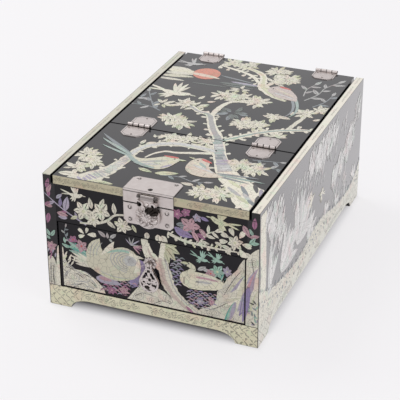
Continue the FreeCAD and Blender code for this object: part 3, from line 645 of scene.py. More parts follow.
# Clusters (x, y, count, reach) of leaves on the trees and of short strokes between them
LEAFAGE = ((-126, 120, 8, 12), (-106, 110, 20, 18), (-92, 92, 8, 11), (-8, 119, 10, 12), (18, 114, 20, 16),
           (44, 117, 15, 15), (62, 120, 7, 10), (104, 82, 10, 11), (118, 90, 14, 13), (66, 71, 9, 10),
           (84, 76, 10, 11), (140, 112, 6, 10))
STROKES = ((-54, 108, 10, 15), (-30, 104, 10, 15), (-4, 98, 10, 15), (20, 92, 7, 12), (62, 98, 5, 14),
           (92, 112, 6, 13), (70, 46, 9, 14), (100, 42, 8, 14))
for side, outward in zip(SIDES, (-1, 1)):
    bank = Picture((outward * side_high.x, 0, 0), (0, 1, 0), (0, 0, 1), (outward, 0, 0), 11 + outward)
    rock(bank, SHORE, IVORY)
    for x in range(-148, 152, 2):
        spot = at(x, 24 + bank.some(0, 14), bank.some(0, 180), bank.some(0.8, 2.4), 0.8)
        bank.lay(leaf, spot, SLATE, 1)
    knots(bank, [(x, y - 4, 9) for x, y, *corner in SHORE[1:-1]], SLATE, 4, 5, 2)
    knots(bank, [(x, y - 7, 12) for x, y, *corner in SHORE[1:-1]], MIST, 5, 4, 1)
    limb(bank, [(-144, 48, 16), (-142, 70, 14), (-143, 92, 13), (-144, 128, 13)], IVORY, 0, 0.15)
    limb(bank, [(-124, 40, 11), (-126, 66, 8), (-122, 92, 6), (-116, 126, 5)], ASH)
    limb(bank, [(-125, 70, 6), (-112, 84, 5), (-96, 104, 4)], ASH)
    limb(bank, [(100, 27, 6), (98, 50, 4), (106, 74, 3), (118, 92, 2)], MIST)
    for x, y, lean, spread, count, long in PLUMES:
        plume(bank, x, y, lean, spread, count, long, (MILK, MILK, ASH), wide=0.24)
    for x, y, count, reach in LEAFAGE:
        hanging(bank, x, y, 2 * count, reach, 14, (MILK, ASH, MILK, ASH, MILK), 2)
    for x, y, count, reach in STROKES:
        hanging(bank, x, y, count, reach, 9, (MILK, ASH, ASH), 1)
    flying_bird(bank, at(-12, 74, 12, 17), IVORY)
    flying_bird(bank, at(22, 66, 160, 15), IVORY)
    whole = bank.glue("side_picture")
    low_corner = (None, side_low.y, bank_low)
    high_corner = (None, side_high.y, rim_foot)
    kept = trimmed(whole, "side_picture_" + side, low_corner, high_corner)
    bpy.data.objects.remove(whole)
    laid_on(kept, "case")

# Picture on the front
# Sprays of blossom with two birds run over the rail beside the lock, and rocks stand on the stiles.
# On the drawer are a swan and a duck between rocks, and a tree behind the pull. Plates stop at its edge.

rail_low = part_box("front_rail")[0]
front_low, front_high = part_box("drawer_front")
front = Picture((0, rail_low.y, 0), (1, 0, 0), (0, 0, 1), (0, -1, 0), 5)


def scatter(picture, tint, places, layer=1, wide=0.5, shape=leaf):
    """Single leaves or petals at places (x, y, turn, long)."""
    for x, y, turn, long in places:
        picture.lay(shape, at(x, y, turn, long, long * wide), tint, layer)


# Blossom and birds on the rail
spray(front, [(-60, 89, 1.4), (-78, 98, 1.2), (-90, 106, 1), (-99, 113, 0.7)], LILAC,
      (LILAC, MAGENTA, VIOLET), 9)
scatter(front, LILAC, ((-80, 99, 78, 15), (-78, 92, 178, 9), (-88, 110, 40, 8)))
scatter(front, ROSE, ((-88, 96, -8, 11), (-97, 114, 62, 10), (-92, 101, 175, 8)))
scatter(front, MAGENTA, ((-96, 94, -100, 11), (-94, 105, -150, 7), (-97, 118.5, 76, 10)))
flying_bird(front, at(-70, 116.5, -6, 17), IVORY)
limb(front, [(-66, 90, 1.6), (-52, 92, 2.2), (-40, 97, 2.4), (-32, 104, 2), (-22, 106, 1.8)], IVORY)
for x, y, size, petals in ((-62, 102, 10, 6), (-53, 95.5, 8, 6), (-45, 105, 9.5, 5), (-25, 95, 8, 6)):
    star(front, x, y, size, IVORY, petals=petals)
scatter(front, IVORY, ((-46, 108, 68, 11), (-54, 106, 100, 11), (-32, 105, 96, 11), (-40, 97, -35, 10)), 0)
scatter(front, LIME, ((-33, 98, -25, 9), (-68, 96, -150, 8), (-16, 98, -60, 8)), 0)
for x, y, size, tint in ((26, 117, 6, MAGENTA), (38, 108, 9, ROSE), (44, 117, 4.5, LILAC),
                         (34, 120, 4.5, MAGENTA)):
    star(front, x, y, size, tint, heart=ROSE, petals=5)
scatter(front, VIOLET, ((24, 101, -12, 17), (47, 118, -15, 8), (23, 104, -25, 12)))
scatter(front, SLATE, ((25, 107, 8, 10), (28, 104, -5, 12)))
scatter(front, ROSE, ((40, 103, -58, 11), (46, 107, -45, 10), (85, 118, -60, 12), (91, 108, 15, 9)))
scatter(front, MAGENTA, ((95, 116, 88, 11), (44, 102, -30, 9)))
scatter(front, GREEN, ((94, 110, 120, 7), (91, 101, 55, 9), (92, 102, 10, 8)))
TWIG = [(17, 97, 3), (32, 92.5, 2.6), (47, 91.5, 2.4), (60, 91, 1.8), (80, 91.5, 1.2)]
spray(front, TWIG, IVORY, (IVORY, IVORY, LIME), 6)
knots(front, TWIG, IVORY, 3.4)
spray(front, [(45, 92, 1.8), (50, 99, 1.5), (54, 104, 1.2), (60, 107, 1)], IVORY, (IVORY,), 10)
flying_bird(front, at(66, 117, 174, 22) @ at(0, 0, 0, 1, -1), LIME)
scatter(front, IVORY, ((73, 104, 160, 8), (77, 106, 115, 8), (82, 105, 60, 8), (84, 100, -8, 9),
                       (82, 95, -55, 10), (75, 95, -125, 8), (72, 100, 190, 8)), 1, 0.7, petal)
star(front, 78, 100, 8, IVORY, petals=6, layer=2)
scatter(front, IVORY, ((60, 97, -20, 8), (66, 95, -12, 9), (86, 92, -25, 11)), 0, 0.48)

# Stiles beside the drawer
rock(front, [(-101, 18, 1), (-101, 44), (-97, 51), (-92.5, 46), (-91, 30), (-90, 18, 1)], IVORY,
     [[(-98, 22, 0.5), (-97.5, 34, 0.7), (-97, 44, 0.4)],
      [(-94.5, 20, 0.5), (-95, 32, 0.7), (-94, 42, 0.4)]])
scatter(front, GREEN, ((-96, 71, 120, 8), (-95, 71, 60, 8), (-96, 68, 150, 6)))
star(front, -95.5, 61, 6, ROSE, heart=MAGENTA, petals=6)
hanging(front, -95.5, 57, 6, 5, 7, (MAGENTA, LILAC))
rock(front, [(101, 18, 1), (101, 98), (96, 96), (91, 90), (88, 84), (88, 18, 1)], IVORY,
     [[(93, 88, 0.4), (95, 70, 0.7), (92, 50, 0.5)]])
plume(front, 100, 80, -112, 24, 5, 34, (LILAC, IVORY, ROSE))
plume(front, 101, 60, -106, 22, 5, 34, (IVORY, LIME, IVORY), 2)
for number in range(16):
    spot = at(front.some(91, 99), front.some(21, 46), front.some(0, 180), front.some(3, 6), 2)
    front.lay(leaf, spot, (INK, SLATE, LILAC, GREEN)[number % 4], 3)

# Blossom along the top of the drawer
spray(front, [(-74, 62, 1), (-79, 69, 0.8), (-82, 76, 0.6), (-81, 82, 0.5)], SLATE, (SLATE, MIST), 5)
plume(front, -57, 56, 156, 26, 6, 28, (TEAL, SLATE, GREEN))
scatter(front, GREEN, ((-78, 62, 160, 8), (-78, 62, 30, 7), (-82, 66, 100, 6)), 2)
star(front, -66, 66, 6.5, ROSE, heart=RED, petals=5)
star(front, -74, 71, 5, MAGENTA, heart=RED, petals=5)
scatter(front, IVORY, ((-60, 79, 8, 9), (-61, 80, 75, 6), (-63, 79, 140, 7),
                       (-62, 78, 205, 7)), 1, 0.6, petal)
scatter(front, MIST, ((-38, 80, 38, 8), (-42, 80, 145, 9), (-40, 79, 95, 6), (-39, 79, -40, 5)), 1, 0.5)
plume(front, -18, 77, 70, 130, 5, 10, (MIST, LILAC, MIST))
plume(front, -16, 76, -12, 60, 4, 11, (ROSE, MAGENTA, ROSE))

# Rocks, water and the swan on the left of the drawer
hanging(front, -79, 52, 9, 7, 7, (IVORY, LIME, IVORY), 2)
rock(front, [(-90, 58), (-87, 64), (-84, 55), (-81, 45), (-76, 41), (-68, 41), (-60, 38), (-54, 35),
             (-50, 31), (-46, 27), (-44, 18, 1), (-92, 18, 1)], IVORY)
for x, y, turn, long in ((-78, 42, -30, 7), (-70, 37, -35, 7), (-62, 38, -25, 6), (-82, 34, 62, 6),
                         (-68, 28, 8, 7), (-56, 30, -50, 6), (-74, 24, 15, 6), (-84, 46, -70, 5),
                         (-60, 24, -10, 5)):
    front.lay(crescent, at(x, y, turn, long, 2.2), MIST, 1)
    front.lay(crescent, at(x, y - 2, turn + 10, long * 0.7, 1.6), INK, 2)
shaped(front, [(-18, 34), (-11, 42), (-5, 60), (-10, 64), (-14, 54), (-20, 44)], VIOLET, 1)
ripples(front, -33, 24, 6, 5, 2.8, (MAGENTA, ROSE, LILAC, MAGENTA), 1)
star(front, -38, 27, 5, MAGENTA, heart=ROSE, petals=6)
star(front, -26, 29, 5, ROSE, heart=MAGENTA, petals=6)
ripples(front, -28, 35, 3, 8, 2.6, (LILAC, ROSE, VIOLET, LILAC), 1)
ripples(front, -9, 42, 8, 2, 3, (LILAC, VIOLET, LILAC), 1)
front.lay(feather, at(-53, 37, -6, 24, 10), LILAC, 2)
front.lay(feather, at(-50, 38, -8, 13, 5), ROSE, 3)
SWAN = [(-62, 50), (-58, 57), (-47, 61), (-39, 67), (-31, 72), (-21, 73), (-12, 67), (-9, 57), (-12, 47),
        (-21, 41), (-34, 38), (-46, 40), (-56, 45)]
for turn, long in ((150, 22), (158, 27), (166, 28), (174, 26), (182, 22)):
    front.lay(feather, at(-51, 48, turn, long, 4.4), IVORY, 1)
RAISED = [(-61, 54), (-60, 66), (-56, 73), (-48, 77.5, 1), (-47, 69), (-44, 60), (-50, 50)]
shaped(front, RAISED, CREAM, 2)
for shift in (0, 3.2, 6.4):
    limb(front, [(-58 + shift, 56, 0.5), (-57 + shift, 66, 0.8), (-52 + shift, 74, 0.3)], MIST, 3)
shaped(front, [(-47, 56), (-43, 69), (-34, 77.5, 1), (-35, 68), (-32, 58), (-40, 52)], IVORY, 3)
shaped(front, SWAN, CREAM, 4)
sweep = [math.radians(turn) for turn in (88, 122, 156, 190, 224, 258)]
for reach in (19, 16, 13, 10, 7):
    arc = [(-19 + reach * math.cos(turn), 60 + 0.62 * reach * math.sin(turn), 0.9) for turn in sweep]
    limb(front, arc, MIST, 5)
limb(front, [(-13, 46, 0.4), (-24, 42.5, 0.8), (-38, 42, 0.8), (-52, 46, 0.4)], MIST, 5)
limb(front, [(-16, 44.5, 0.8), (-26, 41, 1.6), (-40, 40.5, 1.4), (-52, 44, 0.5)], LIME, 5)
front.lay(crescent, at(-28, 66, 8, 14, 6), GREEN, 5)
limb(front, [(-13, 49, 6), (-12, 58, 5), (-15, 66, 4.6), (-20, 68, 4.6)], IVORY, 6)
front.lay(disc, at(-19, 61, 0, 6, 5), ASH, 6)
front.lay(disc, at(-18.5, 61.5, 0, 3.4, 2.8), MIST, 7)
front.lay(leaf, at(-17, 67, -4, 11, 3.4), IVORY, 7)

# Tree behind the pull, the duck, and the cliff on the right of the drawer
rock(front, [(-26, 18, 1), (-20, 26), (-14, 34), (-7, 41), (2, 40), (12, 37), (22, 30), (28, 25),
             (34, 18, 1)], IVORY, [[(-16, 26, 0.3), (-8, 31, 0.5), (2, 30, 0.3)],
                                   [(2, 22, 0.3), (10, 27, 0.5), (18, 26, 0.3)]])
FLESH = (0.66, 0.53, 0.46)
DARK = (0.16, 0.14, 0.12)
STEM = [(11, 70, 9), (13, 60, 11), (15, 50, 12), (19, 41, 11), (27, 31.5, 10), (38, 23.5, 11), (48, 16, 13)]
limb(front, [(-4, 82, 7), (-2, 73, 9), (4, 67, 9), (11, 60, 8)], IVORY, 1, 0.1)
limb(front, [(-3, 80, 1.2), (0, 72, 1.6), (6, 66, 1.4)], FLESH, 2)
limb(front, [(13, 86, 5), (12, 78, 6), (11, 68, 8)], IVORY, 1, 0.1)
limb(front, STEM, IVORY, 2, 0.1)
limb(front, [(x - 0.2 * wide, y, 0.36 * wide) for x, y, wide in STEM], FLESH, 3, 0.25)
limb(front, [(x + 0.3 * wide, y + 1, 0.8) for x, y, wide in STEM], MIST, 3)
scatter(front, MAGENTA, ((33, 27, -40, 10), (43, 21, -35, 10)), 4, 0.3)
scatter(front, IVORY, ((-3, 72, 100, 16), (12, 84, 66, 8)), 3, 0.5, petal)
scatter(front, IVORY, ((-2, 93.5, -94, 7.5), (8, 93.5, -84, 9), (11, 93, -50, 9)), 0, 0.8)
scatter(front, LIME, ((14, 84, -24, 15), (14, 82, -50, 15), (14, 78, -72, 12), (14, 85, 0, 11)), 3, 0.52)
ripples(front, 26, 46, 9, 2, 3, (VIOLET, SLATE, LILAC), 1)
ripples(front, 27, 66, 4, 2, 2.8, (LILAC, SLATE), 1)
ripples(front, 49, 28, 10, 6, 2.3, (LILAC, VIOLET, MIST, ROSE), 1)
star(front, 57, 37, 4.5, ROSE, heart=MAGENTA, petals=6)
star(front, 46, 35, 4, LILAC, petals=6)
DUCK = [(27.5, 55), (30, 61), (38, 63), (50, 63.5), (60, 62), (68, 58, 1), (66, 52), (54, 48),
        (42, 46), (31, 48)]
shaped(front, DUCK, CREAM, 3)
limb(front, [(33, 58, 8), (38, 63, 5.4), (40, 67, 4.8), (35, 70, 5)], CREAM, 4)
front.lay(leaf, at(36, 70.5, 182, 8, 3), LIME, 4)
front.lay(disc, at(36, 70.4, 0, 0.7), INK, 5)
for number, tint in enumerate((IVORY, ROSE, IVORY, MIST, IVORY)):
    front.lay(feather, at(42, 61 - 2.3 * number, -3 + 2 * number, 25 - 3 * number, 3.2), tint, 4)
star(front, 62, 68, 7, GREEN, heart=LIME, petals=6)
star(front, 56, 65, 5, ROSE, heart=RED, petals=5)
star(front, 71, 70, 5, LILAC, petals=6)
scatter(front, MIST, ((44, 66, 30, 9), (48, 68, -10, 8)), 1)
hanging(front, 66, 66, 8, 6, 7, (GREEN, TEAL))
flying_bird(front, at(47, 78, -24, 14), GREEN)
flying_bird(front, at(61, 80, -30, 13), GREEN)
rock(front, [(90, 86), (85, 84), (80, 74), (73, 66), (66, 58), (62, 48), (61, 40), (56, 32), (46, 27),
             (42, 18, 1), (92, 18, 1)], IVORY, [[(84, 74, 0.3), (76, 62, 0.6), (68, 46, 0.3)],
                                                [(70, 38, 0.3), (60, 31, 0.6), (50, 26, 0.3)]], 1)
plume(front, 90, 72, -120, 26, 4, 36, (CREAM, LILAC, IVORY), 3)
plume(front, 90, 48, -150, 36, 5, 26, (IVORY, CREAM), 5)
plume(front, 91, 60, -107, 14, 4, 36, (LILAC, VIOLET), 6, 0.2)
plume(front, 79, 42, -110, 12, 3, 25, (TEAL, GREEN, LILAC), 6, 0.22)
# Engraved ovals on the rocks (x, y, turn, long), each of three rings
OVALS = ((-83, 38, 60, 6), (-76, 33, -20, 6.5), (-66, 34, -14, 6.5), (-80, 24, 20, 6), (-58, 29, -40, 5),
         (-68, 24, 0, 6), (-12, 27, 40, 6), (-2, 34, 10, 5), (4, 26, 0, 6), (16, 30, -30, 5),
         (70, 52, 50, 6), (78, 62, 60, 5), (70, 36, 30, 6), (58, 26, 15, 6), (74, 24, 10, 5),
         (95, 84, 80, 5), (-96, 26, 85, 5), (-95, 38, 85, 5))
for x, y, turn, long in OVALS:
    for share, tint in ((1, MIST), (0.62, DARK), (0.3, DARK)):
        reach = long * share
        front.lay(hoop, at(x, y, turn, reach, reach * 0.62), tint, 2)
whole = front.glue("front_picture")
edge = 0.6 * MM
outer = side_high.x - edge
panel_left = front_low.x - edge
panel_right = front_high.x + edge
stile_foot = base_high.z + edge
lid_edge = edge_low.z - edge
laid_on(trimmed(whole, "rail_picture", (-outer, None, rail_low.z), (outer, None, lid_edge)), "case")
rim_edge = rim_low.z - edge
for side, low_x, high_x in (("left", -outer, panel_left), ("right", panel_right, outer)):
    stile = trimmed(whole, "stile_picture_" + side, (low_x, None, stile_foot), (high_x, None, rail_low.z))
    laid_on(stile, "case")
    corner = trimmed(whole, "corner_picture_" + side, (low_x, None, edge_low.z), (high_x, None, rim_edge))
    laid_on(corner, "case")
low_corner = (front_low.x + 4 * edge, None, front_low.z + 2 * edge)
high_corner = (front_high.x - 2 * edge, None, front_high.z - edge)
drawer_part = trimmed(whole, "drawer_picture", low_corner, high_corner)
bpy.data.objects.remove(whole)
drawer_part.data.transform(Matrix.Translation((0, front_low.y - rail_low.y, 0)))
laid_on(drawer_part, "drawer")

# Picture on the back
# The back is plainer: sprays of blossom rise from rocks under the hinges, and two birds fly between.
# Its plates are of the same shell and stop short of the hinge leaves.

back_low, back_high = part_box("back_panel")
rear = Picture((0, back_high.y, 0), (-1, 0, 0), (0, 0, 1), (0, 1, 0), 31)
CLEAR = 0.5
for node in ("back_hinge_case_left", "back_hinge_case_right"):
    low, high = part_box(node)
    low_place = (-high.x / MM - CLEAR, low.z / MM - CLEAR)
    rear.clear.append((*low_place, -low.x / MM + CLEAR, high.z / MM + CLEAR))
CRAG = ((89, 22, 1), (89, 58), (80, 62), (70, 50), (58, 44), (46, 34), (34, 22, 1))
STALK = ((72, 48, 7), (58, 64, 6), (40, 72, 5), (24, 86, 4), (14, 102, 2.4))
SPRAYS = ((16, 104, 8, 2), (30, 84, 7, 2), (48, 92, 7, 2), (62, 70, 6, 1), (40, 62, 6, 1))
PALE = (IVORY, IVORY, LIME)
for way in (-1, 1):
    rock(rear, [(way * x, *rest) for x, *rest in CRAG], IVORY,
         [[(way * 80, 52, 0.4), (way * 74, 40, 0.8), (way * 76, 28, 0.4)],
          [(way * 62, 40, 0.3), (way * 56, 33, 0.7), (way * 48, 28, 0.3)]])
    stem = [(way * x, y, wide) for x, y, wide in STALK]
    limb(rear, stem, IVORY, 1, 0.12)
    bark(rear, stem, (MIST, ASH, MIST))
    limb(rear, [(way * 48, 69, 4), (way * 52, 82, 3), (way * 46, 94, 2)], IVORY, 1)
    for x, y, reach, count in SPRAYS:
        bough(rear, way * x, y, reach, count, PALE)
    plume(rear, way * 84, 58, 90 + way * 16, 40, 5, 26, (LILAC, VIOLET, ROSE))
    ripples(rear, way * 16, 26, 3, 5, 3.2, (LILAC, VIOLET, SLATE))
    flying_bird(rear, at(way * 12, 56 + 8 * way, 90 - 78 * way, 24), IVORY)
whole = rear.glue("rear_picture")
low_corner = (back_low.x, None, bank_low)
high_corner = (back_high.x, None, back_high.z - edge)
kept = trimmed(whole, "back_picture", low_corner, high_corner)
bpy.data.objects.remove(whole)
laid_on(kept, "case")

# Picture on the lid
# A blossom tree grows from the front corner and runs over the seam, where its plates are sawn through.
# A second stem arches over two birds on the front leaf. A third bird sits above, by a red sun in clouds.

SALMON = (0.72, 0.22, 0.13)
BUFF = (0.72, 0.62, 0.50)
DUN = (0.56, 0.47, 0.43)
SAGE = (0.36, 0.46, 0.42)
DUSK = (0.088, 0.115, 0.10)
leaf_low, leaf_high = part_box("lid_front_leaf")
rear_low, rear_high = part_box("lid_rear_leaf")
lid = Picture((0, 0, leaf_high.z), (1, 0, 0), (0, 1, 0), (0, 0, 1), 23)
metal = ["lock_lid_plate"]
for side in SIDES:
    metal += ["seam_hinge_front_" + side, "seam_hinge_rear_" + side, "back_hinge_lid_" + side]
for node in metal:
    low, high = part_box(node)
    low_place = (low.x / MM - CLEAR, low.y / MM - CLEAR)
    lid.clear.append((*low_place, high.x / MM + CLEAR, high.y / MM + CLEAR))

# The tree, its root and branches, as points (x, y, width) along each
TRUNK = [(92, -138, 40), (66, -113, 26), (46, -92, 17), (29, -62, 12), (16, -32, 11),
         (2, -11, 9), (-9, 12, 7.5)]
ROOT = [(48, -103), (58, -104), (70, -106), (80, -110), (88, -112), (93, -118, 1), (93, -153, 1),
        (85, -153, 1), (76, -143), (66, -133), (56, -119)]
shaped(lid, ROOT, IVORY)
limb(lid, TRUNK, IVORY, 1, 0.1)
knots(lid, TRUNK[1:], IVORY, 6, 4)
limb(lid, [(x, y, 0.74 * wide) for x, y, wide in TRUNK[2:5]], MIST, 2, 0.1)
bark(lid, TRUNK[2:5], (ASH, LILAC, SLATE, SAGE, ASH, SAGE, SLATE), 3)
limb(lid, [(x, y, 0.55 * wide) for x, y, wide in TRUNK[4:]], MIST, 3, 0.2)
for x, y, turn, long, tint in ((58, -118, -40, 24, MIST), (68, -112, -55, 24, SLATE),
                               (74, -124, -48, 24, ASH), (82, -134, -42, 16, SLATE),
                               (86, -112, -70, 20, LILAC), (70, -130, -36, 20, LIME),
                               (54, -106, -36, 20, LIME), (88, -124, -80, 20, INK),
                               (78, -106, -64, 16, INK)):
    lid.lay(feather, at(x, y, turn, long, 5), tint, 2)
LEFT_FORK = [(-6, 7, 8), (-13, 15, 6.5), (-24, 18, 5.5), (-36, 27, 4.5), (-45, 25, 3), (-56, 21, 2)]
RIGHT_FORK = [(-8, 8, 6), (-8, 24, 5.5), (-7, 38, 5), (-1, 50, 4), (14, 54, 2.5)]
ARCH = [(-66, -158, 26), (-54, -138, 18), (-47, -118, 13), (-44, -98, 9), (-43, -82, 8), (-36, -68, 8),
        (-21, -58, 9), (-1, -55, 9), (24, -58, 9)]
BRANCH = [(18, -38, 5), (28, -27, 7), (37, -17, 7), (45, -8.5, 6.5), (57, 1, 6), (77, 11, 5), (91, 15, 3.4)]
FAR = [(68, 4, 4), (70, 18, 4.4), (73, 34, 4), (76, 50, 3.4), (87, 60, 2)]
HIGH = [(-45, 142, 2.4), (-26, 137, 5), (-7, 131, 6), (5, 121, 7), (10, 108, 8), (13, 97, 11), (21, 86, 10),
        (34, 75, 6), (46, 70, 3)]
LOW = [(-45, 132, 2), (-28, 127, 3.4), (-12, 121, 4), (-1, 113, 4), (6, 103, 3)]
UNDER = [(-30, -92, 1.4), (-26, -82, 2.4), (-18, -74, 3), (-8, -73, 3.4), (4, -69, 4), (24, -62, 5)]
for points in (LEFT_FORK, RIGHT_FORK, ARCH, BRANCH, FAR, HIGH, LOW, UNDER):
    limb(lid, points, IVORY, 1, 0.16)
limb(lid, [(x, y, 0.5 * wide) for x, y, wide in LEFT_FORK[:4]], MIST, 3, 0.2)
limb(lid, [(x, y, 0.5 * wide) for x, y, wide in ARCH[3:]], ASH, 3, 0.3)
limb(lid, [(x, y, 0.36 * wide) for x, y, wide in BRANCH], SAGE, 3, 0.2)
limb(lid, [(x, y, 0.4 * wide) for x, y, wide in HIGH], LIME, 3, 0.2)
bark(lid, ARCH[:4], (LILAC, MIST, ASH, MIST))
knots(lid, ARCH[1:], IVORY, 5, 2)
knots(lid, LEFT_FORK, IVORY, 5, 2)
knots(lid, BRANCH, IVORY, 6, 3)
knots(lid, LOW, IVORY, 6, 3)
# Crowded blossom (x, y, reach, blossoms), and single leaves round it
BOUGHS = ((-42, -7, 9, 2), (-29, -13, 9, 2), (-25, -46, 6, 1), (-9, -44, 7, 2), (8, -44, 6, 1),
          (26, 8, 9, 2), (38, 6, 9, 2), (-15, 62, 7, 1), (2, 62, 9, 2), (21, 59, 9, 2), (-36, 142, 8, 1),
          (-18, 141, 7, 2), (16, 136, 9, 2), (30, 121, 11, 3), (22, 110, 6, 1), (72, 50, 6, 1),
          (84, 60, 4, 1), (54, -75, 9, 2), (69, -79, 8, 2), (41, -136, 8, 2), (56, -134, 9, 2),
          (-80, -104, 8, 1), (-71, -117, 8, 1), (-77, -131, 7, 1), (-42, 30, 6, 1), (62, -9, 6, 1),
          (-4, 80, 4, 0), (46, 30, 4, 1), (-30, 28, 5, 0), (-62, 22, 4, 0))
for x, y, reach, count in BOUGHS:
    bough(lid, x, y, reach, count, PALE, 9.5)
scatter(lid, IVORY, ((-45, -68, 84, 10), (-41, -66, 40, 10), (-38, -51, 118, 7), (-35, -52, 62, 8),
                     (-27, -51, 98, 7), (50, 34, -10, 14), (30, -126, 178, 12), (84, 36, 40, 9),
                     (-34, 44, 70, 10), (-24, 40, 30, 9), (62, 40, 100, 9), (-88, -146, 8, 20)), 2)
scatter(lid, LIME, ((-10, -117, 18, 21), (-27, -113, -14, 15), (-60, -152, 6, 26)), 2, 0.4)


def perched_bird(picture, tint, body, tail, wing, crest, beak, eye):
    """A bird at rest. Its feathers are (x, y, turn, long, tint).

    Those of the tail lie under its body, and those of the wing on it.
    """
    for x, y, turn, long, tone in tail:
        picture.lay(feather, at(x, y, turn, long, 0.09 * long), tone, 3)
    shaped(picture, body, tint, 4)
    for x, y, turn, long, tone in wing:
        picture.lay(feather, at(x, y, turn, long, 4), tone, 5)
    x, y, turn, long = crest
    picture.lay(feather, at(x, y, turn, long, 4), RED, 6)
    x, y, turn, long = beak
    picture.lay(leaf, at(x, y, turn, long, 0.4 * long), LIME, 5)
    picture.lay(disc, at(*eye, 0, 0.8), INK, 7)


perched_bird(lid, CREAM,
             body=[(-48, -89, 1), (-40, -93), (-33, -95), (-22, -90), (-14, -84), (-4, -82), (1, -86),
                   (0, -92), (-3, -102), (-9, -109), (-16, -110), (-24, -108), (-33, -104), (-41, -98)],
             tail=((-40, -94, 143, 58, SLATE), (-40, -94, 149, 50, SAGE), (-40, -96, 158, 40, SAGE)),
             wing=((-8, -91, 204, 26, MIST), (-9, -96, 202, 26, IVORY), (-12, -101, 190, 24, ASH),
                   (-2, -97, 230, 12, LILAC), (-1, -90, 215, 9, LIME)),
             crest=(-1, -83, 178, 15), beak=(-1, -86, 4, 8), eye=(-4, -86))
BELLY = [(-50, -87, 2), (-41, -97, 4), (-33, -103, 4.4), (-24, -107, 4), (-14, -108.5, 2.4)]
limb(lid, BELLY, SAGE, 5, 0.1)
perched_bird(lid, BUFF,
             body=[(10, -90), (11, -82), (16, -76), (23, -77), (28, -83), (30, -91), (38, -98),
                   (49, -103, 1), (38, -108), (26, -109), (16, -105), (11, -98)],
             tail=((40, -98, 4, 40, SLATE), (40, -100, -2, 46, SAGE), (38, -102, -8, 36, SLATE)),
             wing=((13, -84, -34, 16, CREAM), (15, -90, -22, 26, ASH), (16, -97, -14, 28, IVORY),
                   (19, -84, -44, 13, SAGE)),
             crest=(18, -77, -24, 13), beak=(13, -79, 165, 7), eye=(16, -81))
perched_bird(lid, DUN,
             body=[(20, 92), (24, 99), (31, 102), (40, 98), (48, 90), (54, 81), (56, 72, 1), (46, 73),
                   (36, 75), (27, 81)],
             tail=(),
             wing=((27, 95, -30, 28, BUFF), (27, 90, -28, 28, DUN), (29, 85, -20, 25, ASH)),
             crest=(29, 101, -16, 14), beak=(22, 93, 178, 6), eye=(25, 94))
for shift, tint in ((0, SAGE), (-4, SLATE)):
    limb(lid, [(52 + shift, 80, 3.4), (58 + shift, 68, 3), (62 + shift, 56, 2.6), (63 + shift, 44, 1.8),
               (60 + shift, 34, 0.5)], tint, 3)

# The sun with a band across it, and streaks of cloud (x, y, turn, long, wide, tint)
HAZE = (0.86, 0.72, 0.57)
lid.lay(disc, at(-50, 106, 0, 14), SALMON, 1)
lid.lay(feather, at(-66, 103, -9, 34, 8), HAZE, 2)
CLOUDS = ((-92, 104, 0, 34, 12, CREAM), (-92, 96, 6, 36, 9, IVORY), (-92, 88, 8, 34, 9, CREAM),
          (-92, 81, 0, 28, 6, IVORY), (-92, 110, -2, 24, 8, IVORY), (-70, 101, 4, 16, 5, CREAM),
          (-35, 107, -12, 40, 3.4, SLATE), (-56, 80, 2, 40, 3, DUSK), (-30, 90, 3, 40, 6, DUSK),
          (-20, 96, -3, 36, 5, LILAC), (-26, 86, 0, 34, 4, DUSK))
for x, y, turn, long, wide, tint in CLOUDS:
    lid.lay(feather, at(x, y, turn, long, wide), tint, 0)
bough(lid, 8, 26, 9, 0, (DUSK, SLATE, DUSK), 11, 0)
flying_bird(lid, at(-74, 126, -6, 24), MIST)
flying_bird(lid, at(-64, 51, -12, 40), IVORY)
for points, tint, long in (([(-58, 6, 1.4), (-72, 12, 1.2), (-88, 12, 0.9)], SLATE, 12),
                           ([(-66, 10, 1.4), (-76, 26, 1.2), (-86, 44, 0.9)], SLATE, 13),
                           ([(-72, 22, 1.2), (-84, 26, 1), (-90, 32, 0.8)], SLATE, 10),
                           ([(62, 78, 1.4), (70, 96, 1.3), (72, 114, 1), (80, 130, 0.9)], MIST, 13),
                           ([(58, 88, 1.2), (56, 104, 1), (60, 118, 0.8)], MIST, 11),
                           ([(74, 66, 1.2), (82, 82, 1), (84, 98, 0.8)], SLATE, 11),
                           ([(56, -66, 1.2), (68, -70, 1), (80, -72, 0.9), (90, -70, 0.8)], SLATE, 10),
                           ([(60, -62, 1.2), (72, -60, 1), (84, -58, 0.8)], SLATE, 10),
                           ([(-4, -119, 1), (12, -116, 1), (26, -120, 1), (36, -118, 0.8)], SLATE, 10)):
    spray(lid, points, tint, (tint, MIST), long)
whole = lid.glue("lid_picture")
sawn_off = 0.1 * MM
low_corner = (leaf_low.x + edge, leaf_low.y + edge, None)
high_corner = (leaf_high.x - edge, leaf_high.y - sawn_off, None)
laid_on(trimmed(whole, "front_leaf_picture", low_corner, high_corner), "front_leaf")
low_corner = (rear_low.x + edge, rear_low.y + sawn_off, None)
high_corner = (rear_high.x - edge, rear_high.y - edge, None)
laid_on(trimmed(whole, "rear_leaf_picture", low_corner, high_corner), "rear_leaf")
bpy.data.objects.remove(whole)

# Inner boards
# The boards inside the case and the drawer are thin softwood, stained red brown and left satin.
# The bottom of the drawer lies in grooves, and the strips round the mirror are of the same wood.

GRAIN_PALE = (0.19, 0.075, 0.04)
GRAIN_DARK = (0.075, 0.028, 0.016)
stained = Finish("stained_wood", {"IOR": 1.45})
fibre = stained.clouds(3 * MM, 5, (1, 0.06, 1))
stained.feed("Base Color", stained.mix(fibre, GRAIN_DARK, GRAIN_PALE))
stained.feed("Roughness", 0.38 + 0.25 * fibre)
stained.emboss(fibre, 0.1 * MM, 0.5)
wear(stained, "drawer_deck", "compartment_floor", "drawer_back", "drawer_bottom")
for side in SIDES:
    wear(stained, "drawer_side_" + side, "mirror_frame_" + side)
wear(stained, "mirror_frame_front", "mirror_frame_rear")

